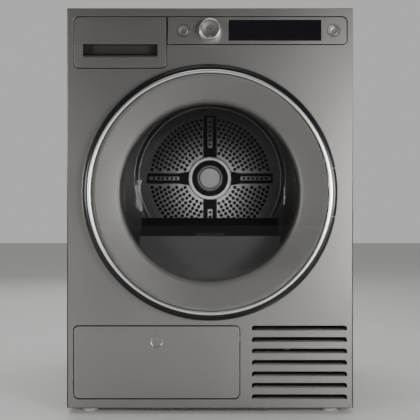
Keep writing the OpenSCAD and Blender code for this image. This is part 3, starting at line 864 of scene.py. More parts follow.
class DRYER_OT_front(bpy.types.Operator):
    """Builds the folded front panel with its openings and louvers"""
    bl_idname = "dryer.front"
    bl_label = "Front panel"

    def execute(self, context):
        s = shapes()
        body = frame_outline(PANEL_X, PANEL_Z, (3.2, 3.2, 0.6, 0.6))
        slot_r = s.louver_height * 0.6
        holes = [circle(*DOOR_AT, MOUTH_R, 160), control_opening(s.seam), flap_outline(s.seam)]
        holes += [
            frame_outline(LOUVER_X, (top - s.louver_height, top), (slot_r, slot_r, 0.5, 0.5))
            for top in louver_tops()
        ]
        tall = (DOOR_AT[1] - 42, DOOR_AT[1] + 42)
        short = (DOOR_AT[1] - 14, DOOR_AT[1] + 14)
        mouth_gap = Vector((HINGE_SLOT[1] - DOOR_AT[0], tall[1] - DOOR_AT[1])).length - MOUTH_R
        if mouth_gap < 1:
            raise ValueError("the hinge slot runs into the door mouth")
        holes += [plain_hole(HINGE_SLOT, tall, 2), plain_hole(STRIKE_SLOT, short, 2)]
        bm = bmesh.new()
        pan(bm, body, holes, folded_edge(s.edge, FOLD, SHEET))
        lug_z = (FLAP_Z[0] + 5, FLAP_Z[0] + 21)
        for x in ((FLAP_X[0] - 10, FLAP_X[0] - 2), (FLAP_X[1] + 1.6, FLAP_X[1] + 10.6)):
            soft_box(bm, x, (-13, -SHEET), lug_z, 0.8, 2)
        tidy(bm)
        build(
            bm, "casing_front", "graphite", "root", "graphite_steel", ["front_panel"],
            flat_faces=True,
        )
        self.liner(s.seam)
        places = [(on_front(middle(LOUVER_X), top, 0), 0) for top in louver_tops()]
        scoops = repeat("louver_scoops", louver_prototype(), places, "graphite", 50)
        settle(scoops, "graphite", "root", "graphite_steel", ["front_panel"])
        return {"FINISHED"}

    def liner(self, seam):
        """Walls inside the openings, painted black as shade, so that the seams read dark."""
        bm = bmesh.new()
        control = [(seam - 0.05, -0.5), (seam - 0.1, -3.0), (seam - 0.9, -3.0)]
        skin(bm, [[on_front(x, z, d) for x, z in control_opening(grow)] for grow, d in control])
        flap = [(seam - 0.05, -0.5), (seam - 0.1, -1.6)]
        skin(bm, [[on_front(x, z, d) for x, z in flap_outline(grow)] for grow, d in flap])
        build(bm, "seam_liner", "satin_black", "root", "graphite_steel", ["front_panel"])


class DRYER_OT_casing(bpy.types.Operator):
    """Builds the worktop, the side walls and the back"""
    bl_idname = "dryer.casing"
    bl_label = "Worktop, sides and back"

    def execute(self, context):
        self.worktop()
        for side in (-1, 1):
            self.side_wall(side)
        self.back()
        self.duct_cover()
        self.gland()
        self.screws()
        return {"FINISHED"}

    def worktop(self):
        x, d, z = span("top_cover")
        wall = 4.0
        bm = bmesh.new()
        outer = frame_outline(x, z, (4, 4, 0.8, 0.8))
        inner = frame_outline((x[0] + wall, x[1] - wall), (z[0], z[1] - wall), (1, 1, 0.2, 0.2))
        edge = 1.6
        rounds = edge_round(edge, 3)
        front = [[on_front(px, pz, d[1] + b) for px, pz in inset(outer, a)] for a, b in rounds]
        rear = [[on_front(px, pz, d[0] - b) for px, pz in inset(outer, a)] for a, b in rounds[::-1]]
        skin(bm, front + rear)
        fill(bm, [inset(outer, edge)], d[1])
        fill(bm, [inset(outer, edge)], d[0])
        under = [on_front(px, pz, d[1] - wall) for px, pz in inner]
        over = [on_front(px, pz, d[0] + wall) for px, pz in inner]
        skin(bm, [under, over])
        tidy(bm)
        build(
            bm, "casing_top", "graphite", "root", "graphite_steel", ["top_cover"], flat_faces=True
        )

    def side_wall(self, side):
        """A folded wall with one large shallow field pressed into it."""
        name = "side_panel_left" if side < 0 else "side_panel_right"
        x, d, z = span(name)
        outer_x = x[0] if side < 0 else x[1]
        press_in, border, soft = 1.6, 46.0, 14.0

        def depth(along, up):
            reach = min(along - d[0], d[1] - along, up - z[0], z[1] - up) - border
            share = max(0.0, min(1.0, reach / soft))
            return press_in * share * share * (3 - 2 * share)

        marks = [0, 3, border, border + 4, border + 9, border + soft, border + soft + 60]

        def stops(low, high):
            half = (high - low) / 2
            return sorted({low + m for m in marks} | {high - m for m in marks} | {low + half})

        bm = bmesh.new()
        for back in (0.0, SHEET):
            rows = [
                [
                    on_front(outer_x - side * (depth(along, up) + back), up, along)
                    for along in stops(*d)
                ]
                for up in stops(*z)
            ]
            skin(bm, rows, closed_ring=False)
        edges = [
            [(d[0], z[0]), (d[1], z[0])], [(d[1], z[0]), (d[1], z[1])],
            [(d[1], z[1]), (d[0], z[1])], [(d[0], z[1]), (d[0], z[0])],
        ]
        for (a, b) in edges:
            steps = stops(*d) if a[1] == b[1] else stops(*z)
            line = [(v, a[1]) for v in steps] if a[1] == b[1] else [(a[0], v) for v in steps]
            skin(bm, [
                [on_front(outer_x - side * back, up, along) for along, up in line]
                for back in (0.0, SHEET)
            ], closed_ring=False)
        flange = sorted((outer_x, outer_x - side * FOLD))
        tidy(bm)
        soft_box(bm, flange, (d[0], d[0] + SHEET), z, 0.5, 2)
        soft_box(bm, flange, (d[1] - SHEET, d[1]), (236, z[1]), 0.5, 2)
        build(
            bm, "casing_left" if side < 0 else "casing_right", "graphite", "root",
            "graphite_steel", [name], smooth_angle=40,
        )

    def back(self):
        x, d, z = span("rear_panel")
        gland_x, _, gland_z = span("mains_gland")
        bm = bmesh.new()
        outline = frame_outline(x, z, (2, 2, 2, 2))
        holes = [circle(*DRUM_AT, 200, 128), circle(middle(gland_x), middle(gland_z), 12, 32)]
        holes += [plain_hole((-230, -110), (60 + i * 20, 66 + i * 20), 2.9) for i in range(8)]
        pan(bm, outline, holes, [(0.3, 0), (0, 0.3), (0, SHEET - 0.3), (0.3, SHEET)], d[0], 0.3)
        for low, high, left, right in ((250, 254, -250, -100), (250, 254, 100, 225),
                                       (775, 779, -240, 240), (228, 232, -90, 225)):
            soft_box(bm, (left, right), (d[0] - 0.6, d[0] + 0.8), (low, high), 0.55, 2)
        tidy(bm)
        build(
            bm, "casing_rear", "zinc", "root", "galvanised_steel", ["rear_panel"], flat_faces=True
        )

    def duct_cover(self):
        x, d, z = span("rear_duct_cover")
        low = d[0]
        centre = (middle(x), middle(z))
        rim = (x[1] - x[0]) / 2
        top = d[1]
        profile = rounded([
            (0, low + 5), (58, low + 5, 3), (66, low, 3), (96, low, 3), (104, low + 5, 3),
            (150, low + 5, 3), (158, low, 3), (200, low, 6), (216, low + 8, 5),
            (226, top - 2, 5), (rim, top - 2), (rim, top), (224.5, top, 5), (214.5, low + 9.5, 5),
            (199.5, low + 2, 5), (157.4, low + 2, 2), (149.4, low + 7, 2), (104.6, low + 7, 2),
            (96.6, low + 2, 2), (65.4, low + 2, 2), (57.4, low + 7, 2), (0, low + 7),
        ], 4)
        settle(
            revolve("duct_cover", profile, centre, 160),
            "zinc", "root", "galvanised_steel", ["rear_duct_cover"],
        )

    def gland(self):
        x, d, z = span("mains_gland")
        centre = (middle(x), middle(z))
        reach = (x[1] - x[0]) / 2
        bore = 5.0
        shell = rounded([
            (bore, d[0], 0.8), (9, d[0], 1.5), (11.5, d[0] + 6, 1), (11.5, REAR_D - 4, 0.5),
            (reach, REAR_D - 4, 1), (reach, REAR_D - 0.05, 0.5), (11.9, REAR_D - 0.05),
            (11.9, d[1], 1), (bore, d[1], 0.8),
        ], 4)
        settle(
            revolve("cable_gland", shell, centre, 72),
            "black", "root", "black_plastic", ["mains_gland"],
        )

    def screws(self):
        """Pan heads with a hexagon socket, all made from one prototype."""
        socket, hexagon = 4, math.pi / 3
        head = [(0, -1.2), (2.2, -1.2), (2.2, -2.7), (2.6, -3), (3.4, -2.95), (4.5, -2.2),
                (5, -1), (5, 0)]
        bm = bmesh.new()
        rings = []
        for i in range(24):
            a = math.tau * i / 24
            flat = math.cos(hexagon / 2) / math.cos((a + hexagon / 2) % hexagon - hexagon / 2)
            rings.append([
                Vector((r * math.cos(a), -d, r * math.sin(a))) * MM if k >= socket else
                Vector((r * flat * math.cos(a), -d, r * flat * math.sin(a))) * MM
                for k, (r, d) in enumerate(head)
            ])
        skin(bm, rings, closed_ring=False, closed_loft=True)
        tidy(bm)
        prototype = to_object(bm, "screw_prototype")
        sides = [
            (on_front(side * 272, up, REAR_D), 0)
            for side in (-1, 1) for up in (60, 240, 420, 600, 780)
        ]
        ring = [
            (
                on_front(DRUM_AT[0] + 234 * math.cos(a), DRUM_AT[1] + 234 * math.sin(a), REAR_D - 2),
                20,
            )
            for a in (math.radians(15 + 60 * i) for i in range(6))
        ]
        piece = repeat("rear_screws", prototype, sides + ring, "bracket")
        settle(piece, "bracket", "root", "galvanised_steel", ["cabinet_screws"])


# Fascia and drawer ----------------------------------------------------------------------

CONTROL_SKIN = 2.5
RING_BEZEL = 14.0


class DRYER_OT_fascia(bpy.types.Operator):
    """Builds the fascia with its display, selector and push buttons"""
    bl_idname = "dryer.fascia"
    bl_label = "Fascia and controls"

    def execute(self, context):
        self.plate()
        self.display()
        self.selector()
        self.button("power_button", POWER_AT, "power_key")
        self.button("start_button", START_AT, "start_key")
        self.board()
        return {"FINISHED"}

    def plate(self):
        display_x, _, display_z = span("display_window")
        button_r = (span("power_button")[0][1] - span("power_button")[0][0]) / 2
        hole_r = button_r - 2.1 + 0.3
        holes = [plain_hole((display_x[0] - 0.2, display_x[1] + 0.2),
                            (display_z[0] - 0.2, display_z[1] + 0.2), 1.2)]
        holes += [circle(*POWER_AT, hole_r, 64), circle(*START_AT, hole_r, 64)]
        holes += [circle(*KNOB_AT, 8.4, 48)]
        bm = bmesh.new()
        outline = fascia_outline(SEAM_SHRINK["fascia"])
        pan(bm, outline, holes, folded_edge(PANEL_EDGE, 16, CONTROL_SKIN), 0.0, 0.35)
        tidy(bm)
        build(
            bm, "fascia", "brushed_graphite", "root", "graphite_plastic", ["control_panel"],
            flat_faces=True,
        )
        ring = rounded([
            (hole_r, -0.6), (hole_r, 0.3, 0.2), (RING_BEZEL - 1.0, 0.45, 0.2),
            (RING_BEZEL - 1.0, -0.6),
        ], 4)
        inner = RING_BEZEL - 1.0
        # Painted shade: a thin black ring round each button stands for the shade in its groove.
        groove = [(inner, -0.3), (inner, 0.1), (RING_BEZEL, 0.1), (RING_BEZEL, -0.3)]
        for name, at in (("power", POWER_AT), ("start", START_AT)):
            settle(
                revolve(name + "_surround", ring, at, 96),
                "graphite", "root", "graphite_plastic", ["control_panel"],
            )
            settle(
                revolve(name + "_groove", groove, at, 96),
                "satin_black", "root", "graphite_plastic", ["control_panel"],
            )

    def display(self):
        x, d, z = span("display_window")
        bm = bmesh.new()
        outline = frame_outline(x, z, (1.2, 1.2, 1.2, 1.2))
        edge = 0.5
        back = d[0] - d[1]
        section = [(edge, 0), (edge * 0.3, -edge * 0.3), (0, -edge), (0, back), (0.2, back)]
        pan(bm, outline, [], section, d[1])
        tidy(bm)
        build(bm, "display", "display", "root", "black_gloss", ["display_window"], flat_faces=True)

    def selector(self):
        x, d, z = span("knob_ring")
        r = (x[1] - x[0]) / 2
        well = 19.5
        rim = rounded([
            (5.6, d[0]), (8, d[0]), (8, 1), (r - 0.6, 1, 0.4), (r, 2.2, 0.8), (r, 14.6, 1.2),
            (r - 2.4, d[1], 1.3), (well, d[1] - 1.2, 0.8), (well, 3.5), (5.6, 3.5),
        ], 5)
        settle(
            revolve("selector_ring", rim, KNOB_AT, 160),
            "chrome", "selector", "chrome_trim", ["knob_ring"],
        )
        cap_x, cap_d, _ = span("knob_cap")
        cap_r = (cap_x[1] - cap_x[0]) / 2
        face = rounded([
            (0, cap_d[1] - 1.6), (9, cap_d[1] - 1.4, 6), (16.5, cap_d[1] - 0.2, 2),
            (cap_r, cap_d[1], 0.9), (cap_r, 12, 0.4), (5, 12), (5, cap_d[0]), (0, cap_d[0]),
        ], 5)
        settle(
            revolve("selector_cap", face, KNOB_AT, 128, close=True),
            "graphite", "selector_cap", "graphite_plastic", ["knob_cap"],
        )
        bm = bmesh.new()
        at_d = cap_d[1] - 1.5
        for wide, high in ((2.8, 0.8), (0.8, 2.8)):
            up = (KNOB_AT[1] - high, KNOB_AT[1] + high)
            soft_box(bm, (-wide, wide), (at_d - 0.4, at_d + 0.25), up, 0.2, 2)
        build(bm, "selector_mark", "mark", "selector_cap", "black_plastic", ["knob_cap"])
        bm = bmesh.new()
        low = KNOB_AT[1] - 15.6
        soft_box(
            bm, (-1.1, 1.1), (cap_d[1] - 0.8, cap_d[1] + 0.05), (low - 1.1, low + 1.1), 0.45, 3
        )
        build(bm, "selector_dot", "pale", "selector_cap", "pale_plastic", ["knob_cap"])

    def button(self, name, at, body):
        x, d, z = span(name)
        r = (x[1] - x[0]) / 2 - 2.1
        crown = rounded([
            (0, d[1] - 0.9), (5, d[1] - 0.7, 6), (r - 1.3, d[1], 1.4),
            (r - 0.5, d[1] - 1.0, 0.5), (r - 0.5, -3),
            (r + 2.1, -3), (r + 2.1, -6), (3, -6), (3, d[0]), (0, d[0]),
        ], 5)
        settle(revolve(name + "_cap", crown, at, 96), "graphite", body, "graphite_plastic", [name])
        bm = bmesh.new()
        mark_d = (d[1] - 1.3, d[1] - 0.55)
        if name == "power_button":
            for i in range(10):
                a = math.radians(135 + 270 * i / 9)
                px, pz = at[0] + 2.3 * math.cos(a), at[1] + 2.3 * math.sin(a)
                soft_box(bm, (px - 0.45, px + 0.45), mark_d, (pz - 0.45, pz + 0.45), 0.15, 1)
            soft_box(bm, (at[0] - 0.35, at[0] + 0.35), mark_d, (at[1] + 0.6, at[1] + 3.0), 0.15, 1)
        else:
            for shift in (1.5, 3.1):
                px = at[0] + shift
                soft_box(bm, (px - 0.4, px + 0.4), mark_d, (at[1] - 1.8, at[1] + 1.8), 0.15, 1)
            for step in range(4):
                px = at[0] - 2.8 + step * 0.75
                half = 1.8 - step * 0.48
                soft_box(bm, (px - 0.4, px + 0.4), mark_d, (at[1] - half, at[1] + half), 0.15, 1)
        settle(to_object(bm, name + "_mark"), "mark", body, "black_plastic", [name])

    def board(self):
        """Chips on the circuit board behind the fascia."""
        d = span("control_board")[1]
        bm = bmesh.new()
        for cx, cz, w, h in ((-60, 815, 20, 14), (-30, 790, 16, 16), (245, 786, 24, 10)):
            across, up = (cx - w / 2, cx + w / 2), (cz - h / 2, cz + h / 2)
            soft_box(bm, across, (d[0] + 2, d[0] + 5), up, 0.5, 1)
        settle(to_object(bm, "board_chips"), "black", "root", "circuit_board")


class DRYER_OT_drawer(bpy.types.Operator):
    """Builds the drawer front with its grip hollow and the groove above it"""
    bl_idname = "dryer.drawer"
    bl_label = "Drawer front"

    grip_x = (-265.9, -109.7)
    grip_z = (745.8, 773.0)
    grip_depth = 24.0
    groove_z = (772.0, 773.6)

    def execute(self, context):
        outline = drawer_outline(SEAM_SHRINK["drawer"])
        edge, sheet = PANEL_EDGE, 4.0
        groove_depth = 1.6
        bm = bmesh.new()
        lip = 1.8
        groove = plain_hole((DRAWER_X[0] + lip, self.grip_x[0] - 1.0), self.groove_z, 0.4)
        groove_right = plain_hole((self.grip_x[1] + 1.0, DRAWER_X[1] - lip), self.groove_z, 0.4)
        mouth = plain_hole(self.grip_x, (self.grip_z[0], self.groove_z[1]), 0.9)
        section = edge_round(edge)
        rings = [[on_front(x, z, d) for x, z in inset(outline, inward)] for inward, d in section]
        rings.append([on_front(x, z, -sheet) for x, z in outline])
        skin(bm, rings)
        fill(bm, [inset(outline, edge), mouth, groove, groove_right], 0)
        skin(bm, [[on_front(x, z, d) for x, z in mouth] for d in (0, -sheet)])
        fill(bm, [outline, mouth], -sheet)
        for line in (groove, groove_right):
            skin(bm, [[on_front(x, z, d) for x, z in line] for d in (0, -groove_depth)])
            fill(bm, [line], -groove_depth)
        tidy(bm)
        build(
            bm, "drawer_panel", "brushed_graphite", "drawer", "graphite_plastic",
            ["drawer_front"], flat_faces=True,
        )
        self.lip()
        self.pocket()
        return {"FINISHED"}

    def along(self, name, loop):
        """A closed (d, z) section drawn across the grip's width."""
        bm = bmesh.new()
        rows = skin(bm, [[on_front(x, z, d) for d, z in loop] for x in self.grip_x])
        bm.faces.new(rows[0])
        bm.faces.new(rows[-1])
        tidy(bm)
        return to_object(bm, name, 50)

    def lip(self):
        """The face rolls inward below the fingers; the roll is the drawer front's own graphite
        plastic, drawn dark as painted shade.
        """
        low = self.grip_z[0]
        loop = [
            (-0.05, low), (-0.5, low + 1.6), (-1.6, low + 3.2), (-3.4, low + 4.6),
            (-7.0, low + 6.0), (-7.0, low + 4.0), (-4.0, low + 1.5), (-3.0, low - 0.5),
        ]
        piece = self.along("drawer_lip", loop)
        settle(piece, "dark", "drawer", "graphite_plastic", ["drawer_front"])

    def pocket(self):
        """The pocket behind the lip, open to the front; it and its cheeks are painted black as
        shade.
        """
        low, top, depth, wall = self.grip_z[0], 788.0, self.grip_depth, 1.5
        inside = [(-6.5, low + 5.6), (-depth, low + 11.2), (-depth, top), (-4.1, top)]
        rear = -depth - wall
        outside = [(-4.1, top + wall), (rear, top + wall), (rear, low + 9), (-6.5, low + 3.6)]
        floor = self.along("drawer_pocket", rounded([(*p, 0.5) for p in inside + outside], 2))
        settle(floor, "black", "drawer", "graphite_plastic", ["drawer_front"])
        bm = bmesh.new()
        for side in (self.grip_x[0] - 1.5, self.grip_x[1]):
            soft_box(bm, (side, side + 1.5), (-depth - wall, -1.7), (low + 0.4, top + wall), 0.3, 1)
        build(bm, "drawer_pocket_cheeks", "black", "drawer", "graphite_plastic", ["drawer_front"])


class DRYER_OT_flap(bpy.types.Operator):
    """Builds the service flap with its push spot"""
    bl_idname = "dryer.flap"
    bl_label = "Service flap"

    push_at = (-111.8, 150.8)
    push_r = 13.5

    def execute(self, context):
        x, d, z = span("service_flap")
        outline = flap_outline(SEAM_SHRINK["flap"])
        edge, sheet = PANEL_EDGE, 4.0
        section = edge_round(edge)
        section += [(0, -sheet), (2, -sheet)]
        spot = circle(*self.push_at, self.push_r, 72)
        bm = bmesh.new()
        rings = [
            [on_front(px, pz, dd) for px, pz in inset(outline, inward)] for inward, dd in section
        ]
        skin(bm, rings)
        fill(bm, [inset(outline, section[0][0]), spot], section[0][1])
        fill(bm, [inset(outline, 2)], -sheet)
        tidy(bm)
        build(
            bm, "flap_panel", "graphite", "flap", "graphite_steel", ["service_flap"],
            flat_faces=True,
        )
        r = self.push_r
        dish = rounded([
            (r, -2.5), (r, -0.02, 0.1), (r - 0.8, -0.02, 0.3), (r - 2.2, -0.9, 1.2),
            (0, -1.4), (0, -2.5),
        ], 4)
        settle(
            revolve("flap_push_spot", dish, self.push_at, 96),
            "graphite", "flap", "graphite_steel", ["service_flap"],
        )
        pivot_z = FLAP_Z[0] + 13
        bm = bmesh.new()
        for low, high, r in ((x[0], FLAP_X[0] + 3, 2.5), (FLAP_X[1] - 3, x[1], 2.5)):
            ends = [(0, low), (r - 0.4, low), (r, low + 0.4), (r, high), (0, high)]
            rows = []
            for i in range(28):
                a = math.tau * i / 28
                up, out = math.sin(a), math.cos(a)
                rows.append([on_front(px, pivot_z + q * up, -6 + q * out) for q, px in ends])
            skin(bm, rows, closed_ring=False, closed_loft=True)
        bar_x, bar_z = (FLAP_X[0] + 12, FLAP_X[1] - 12), (pivot_z - 4.2, pivot_z + 5.8)
        soft_box(bm, bar_x, (-11.8, -3.9), bar_z, 2, 3)
        tidy(bm)
        build(bm, "flap_pins", "dark", "flap", "graphite_steel", ["service_flap"])
        return {"FINISHED"}


# Door -----------------------------------------------------------------------------------

WINDOW_R = 185.7
HINGE_AT = (-252.0, 17.0)
HANDLE_HALF = 11.0


def carve(piece, boxes):
    """Cuts rounded-off boxes out of a closed piece."""
    bm = bmesh.new()
    for x, d, z in boxes:
        soft_box(bm, x, d, z, 1.0, 2)
    cutter = to_object(bm, piece.name + "_cutter")
    cut = piece.modifiers.new("Cut", "BOOLEAN")
    cut.object = cutter
    cut.solver = "EXACT"
    seen = bpy.context.evaluated_depsgraph_get()
    seen.update()
    mesh = bpy.data.meshes.new_from_object(piece.evaluated_get(seen))
    piece.modifiers.remove(cut)
    piece.data = mesh
    bpy.data.objects.remove(cutter)
    mesh.shade_smooth()
    mesh.set_sharp_from_angle(angle=math.radians(32))
    return piece


def dome(r, rim_d, crown_d, steps=18):
    """Profile points of a shallow dome from its rim to its middle."""
    points = []
    for i in range(steps + 1):
        at = r * math.cos(math.pi / 2 * i / steps)
        points.append((max(0.0, at), crown_d - (crown_d - rim_d) * (at / r) ** 2))
    points[-1] = (0.0, crown_d)
    return points


class DRYER_OT_door(bpy.types.Operator):
    """Builds the glass door with its rings, bowl, handle, hinge and strike"""
    bl_idname = "dryer.door"
    bl_label = "Door"

    def execute(self, context):
        self.rings()
        self.frame()
        self.glasses()
        self.metalwork()
        return {"FINISHED"}

    def ring_face(self):
        """Outer outline of the black ring, from its inner edge round to its rim."""
        return [(TRIM_R + 0.3, 27.6, 0.6), (259.4, 26.2, 3), (264.2, 20.5, 4)]

    def rings(self):
        inner = [
            (DOOR_R, 13, 2), (DOOR_R, 10, 0.6), (262.5, 5, 0.6), (259.5, 5, 0.6), (263, 12, 1),
            (261.5, 17.5, 2), (258.5, 22.8, 1), (247, 25.2), (247, 26), (TRIM_R + 0.3, 26),
        ]
        ring = revolve(
            "door_ring", rounded(self.ring_face() + inner, 4), DOOR_AT, 256, 40,
            sweep=(HANDLE_HALF + 0.25, 360 - HANDLE_HALF - 0.25),
        )
        pocket = span("door_hinge_arm")[2]
        hinge_z = (pocket[0] - 14, pocket[1] + 14)
        carve(ring, [((-272, -226), (-3, 12), hinge_z)])
        settle(ring, "piano_black", "door", "black_gloss", ["door_bezel"])
        grip = self.ring_face() + [
            (265.4, 15.5, 0.8), (262, 15.5, 1), (258, 20, 2), (247, 24.8), (247, 26),
            (TRIM_R + 0.3, 26),
        ]
        handle = revolve(
            "door_grip", rounded(grip, 4), DOOR_AT, 256, 40, sweep=(-HANDLE_HALF, HANDLE_HALF)
        )
        settle(handle, "piano_black", "door", "handle_plastic", ["door_handle"])
        trim = rounded([
            (246.8, 26), (TRIM_R, 26), (TRIM_R, 28.8, 0.6), (252.2, 30.6, 1.4), (249, 31, 1.4),
            (246.8, 29.6, 0.6),
        ], 5)
        settle(
            revolve("door_trim", trim, DOOR_AT, 320, 50),
            "chrome", "door", "chrome_trim", ["door_trim_ring"],
        )

    def frame(self):
        """The grey moulding behind the glass: a cone that falls to the window's edge."""
        profile = rounded([
            (258, 2), (258, 5), (199, 5), (196, 4), (194, 8), (206, 12, 4), (246, 22, 1),
            (246, 24.6, 0.8), (238, 23.6, 8), (207, 15.4, 8), (194, 11.5, 6), (188.6, 8.0, 3),
            (WINDOW_R, 3, 2), (WINDOW_R, -20, 1), (190, -20, 1), (194, 0, 2), (196, 2),
        ], 6)
        piece = revolve("door_inner_frame", profile, DOOR_AT, 256, 44)
        pocket = span("door_hinge_arm")[2]
        carve(piece, [((-272, -226), (-3, 6), (pocket[0] - 14, pocket[1] + 14))])
        settle(piece, "frame_grey", "door", "frame_plastic", ["door_frame"])

    def glasses(self):
        high = span("door_glass")[1][1]
        outer = dome(GLASS_R - 0.5, high - 6, high)
        inner = dome(GLASS_R - 0.5, high - 9.8, high - 4)
        edge = [(GLASS_R, high - 6.6), (GLASS_R, high - 9.2)]
        settle(
            revolve("door_pane", edge[:1] + outer + inner[::-1] + edge[1:], DOOR_AT, 256, 50),
            "glass", "door", "window_glass", ["door_glass"],
        )
        bowl = rounded([
            (WINDOW_R - 0.1, -4, 0.6), (WINDOW_R - 0.1, -12, 4), (180, -22, 12), (166, -40, 14),
            (150, -47, 12), (110, -50, 20), (0, -51), (0, -47), (109, -46, 20), (148, -43, 10),
            (162, -37.5, 10), (175, -20.5, 10), (180, -10, 4), (180, -4, 0.6),
        ], 6)
        settle(
            revolve("door_bowl_glass", bowl, DOOR_AT, 192, 50),
            "bowl", "door", "window_glass", ["door_bowl"],
        )

    def metalwork(self):
        hinge_x, hinge_d = HINGE_AT
        arm_z = span("door_hinge_arm")[2]
        bm = bmesh.new()
        self.barrel(bm, arm_z, 6, 3.55)
        soft_box(bm, (hinge_x - 3, hinge_x + 5), (5, hinge_d - 5), arm_z, 0.7, 2)
        soft_box(bm, (hinge_x - 3, -206), (5, 8), arm_z, 0.7, 2)
        for up in (arm_z[0] + 12, arm_z[1] - 12):
            for across in (-236, -218):
                soft_box(bm, (across - 3, across + 3), (7.6, 9.2), (up - 3, up + 3), 0.7, 2)
        build(bm, "hinge_arm", "bracket", "door", "galvanised_steel", ["door_hinge_arm"])
        x, d, z = span("door_strike")
        bm = bmesh.new()
        soft_box(bm, (x[0], x[0] + 6), d, z, 1.2, 3)
        soft_box(bm, (x[0], x[1]), (d[0], d[0] + 3), z, 1.0, 3)
        build(bm, "strike_hook", "bracket", "door", "galvanised_steel", ["door_strike"])

    def barrel(self, bm, z, outer, bore):
        """A hinge knuckle about the door's axis."""
        loop = [(bore, z[0]), (outer - 0.6, z[0]), (outer, z[0] + 0.6), (outer, z[1] - 0.6),
                (outer - 0.6, z[1]), (bore, z[1])]
        rows = []
        for i in range(40):
            a = math.tau * i / 40
            rows.append([
                on_front(HINGE_AT[0] + r * math.cos(a), up, HINGE_AT[1] + r * math.sin(a))
                for r, up in loop
            ])
        skin(bm, rows, closed_loft=True)
        bmesh.ops.recalc_face_normals(bm, faces=bm.faces)


class DRYER_OT_seal(bpy.types.Operator):
    """Builds the lipped seal round the mouth"""
    bl_idname = "dryer.seal"
    bl_label = "Door seal"

    def execute(self, context):
        lip = rounded([
            (196, -10, 0.8), (208, -10, 0.8), (208, -1.2, 1), (204.4, 1.4, 1.2), (203, -0.6, 0.8),
            (201.6, 1.4, 0.8), (200, 1.4, 0.8), (196, -3, 1),
        ], 4)
        settle(
            revolve("mouth_seal", lip, DOOR_AT, 224, 50),
            "rubber", "root", "soft_rubber", ["door_seal"],
        )
        return {"FINISHED"}


# Drum -----------------------------------------------------------------------------------

BACK_D = -535.0
SPOKE_HALF = 17.5
STRIP_HALF = 8.0


def turn_about_drum(points, degrees):
    a = math.radians(degrees)
    c, s = math.cos(a), math.sin(a)
    return [(DRUM_AT[0] + x * c - z * s, DRUM_AT[1] + x * s + z * c) for x, z in points]


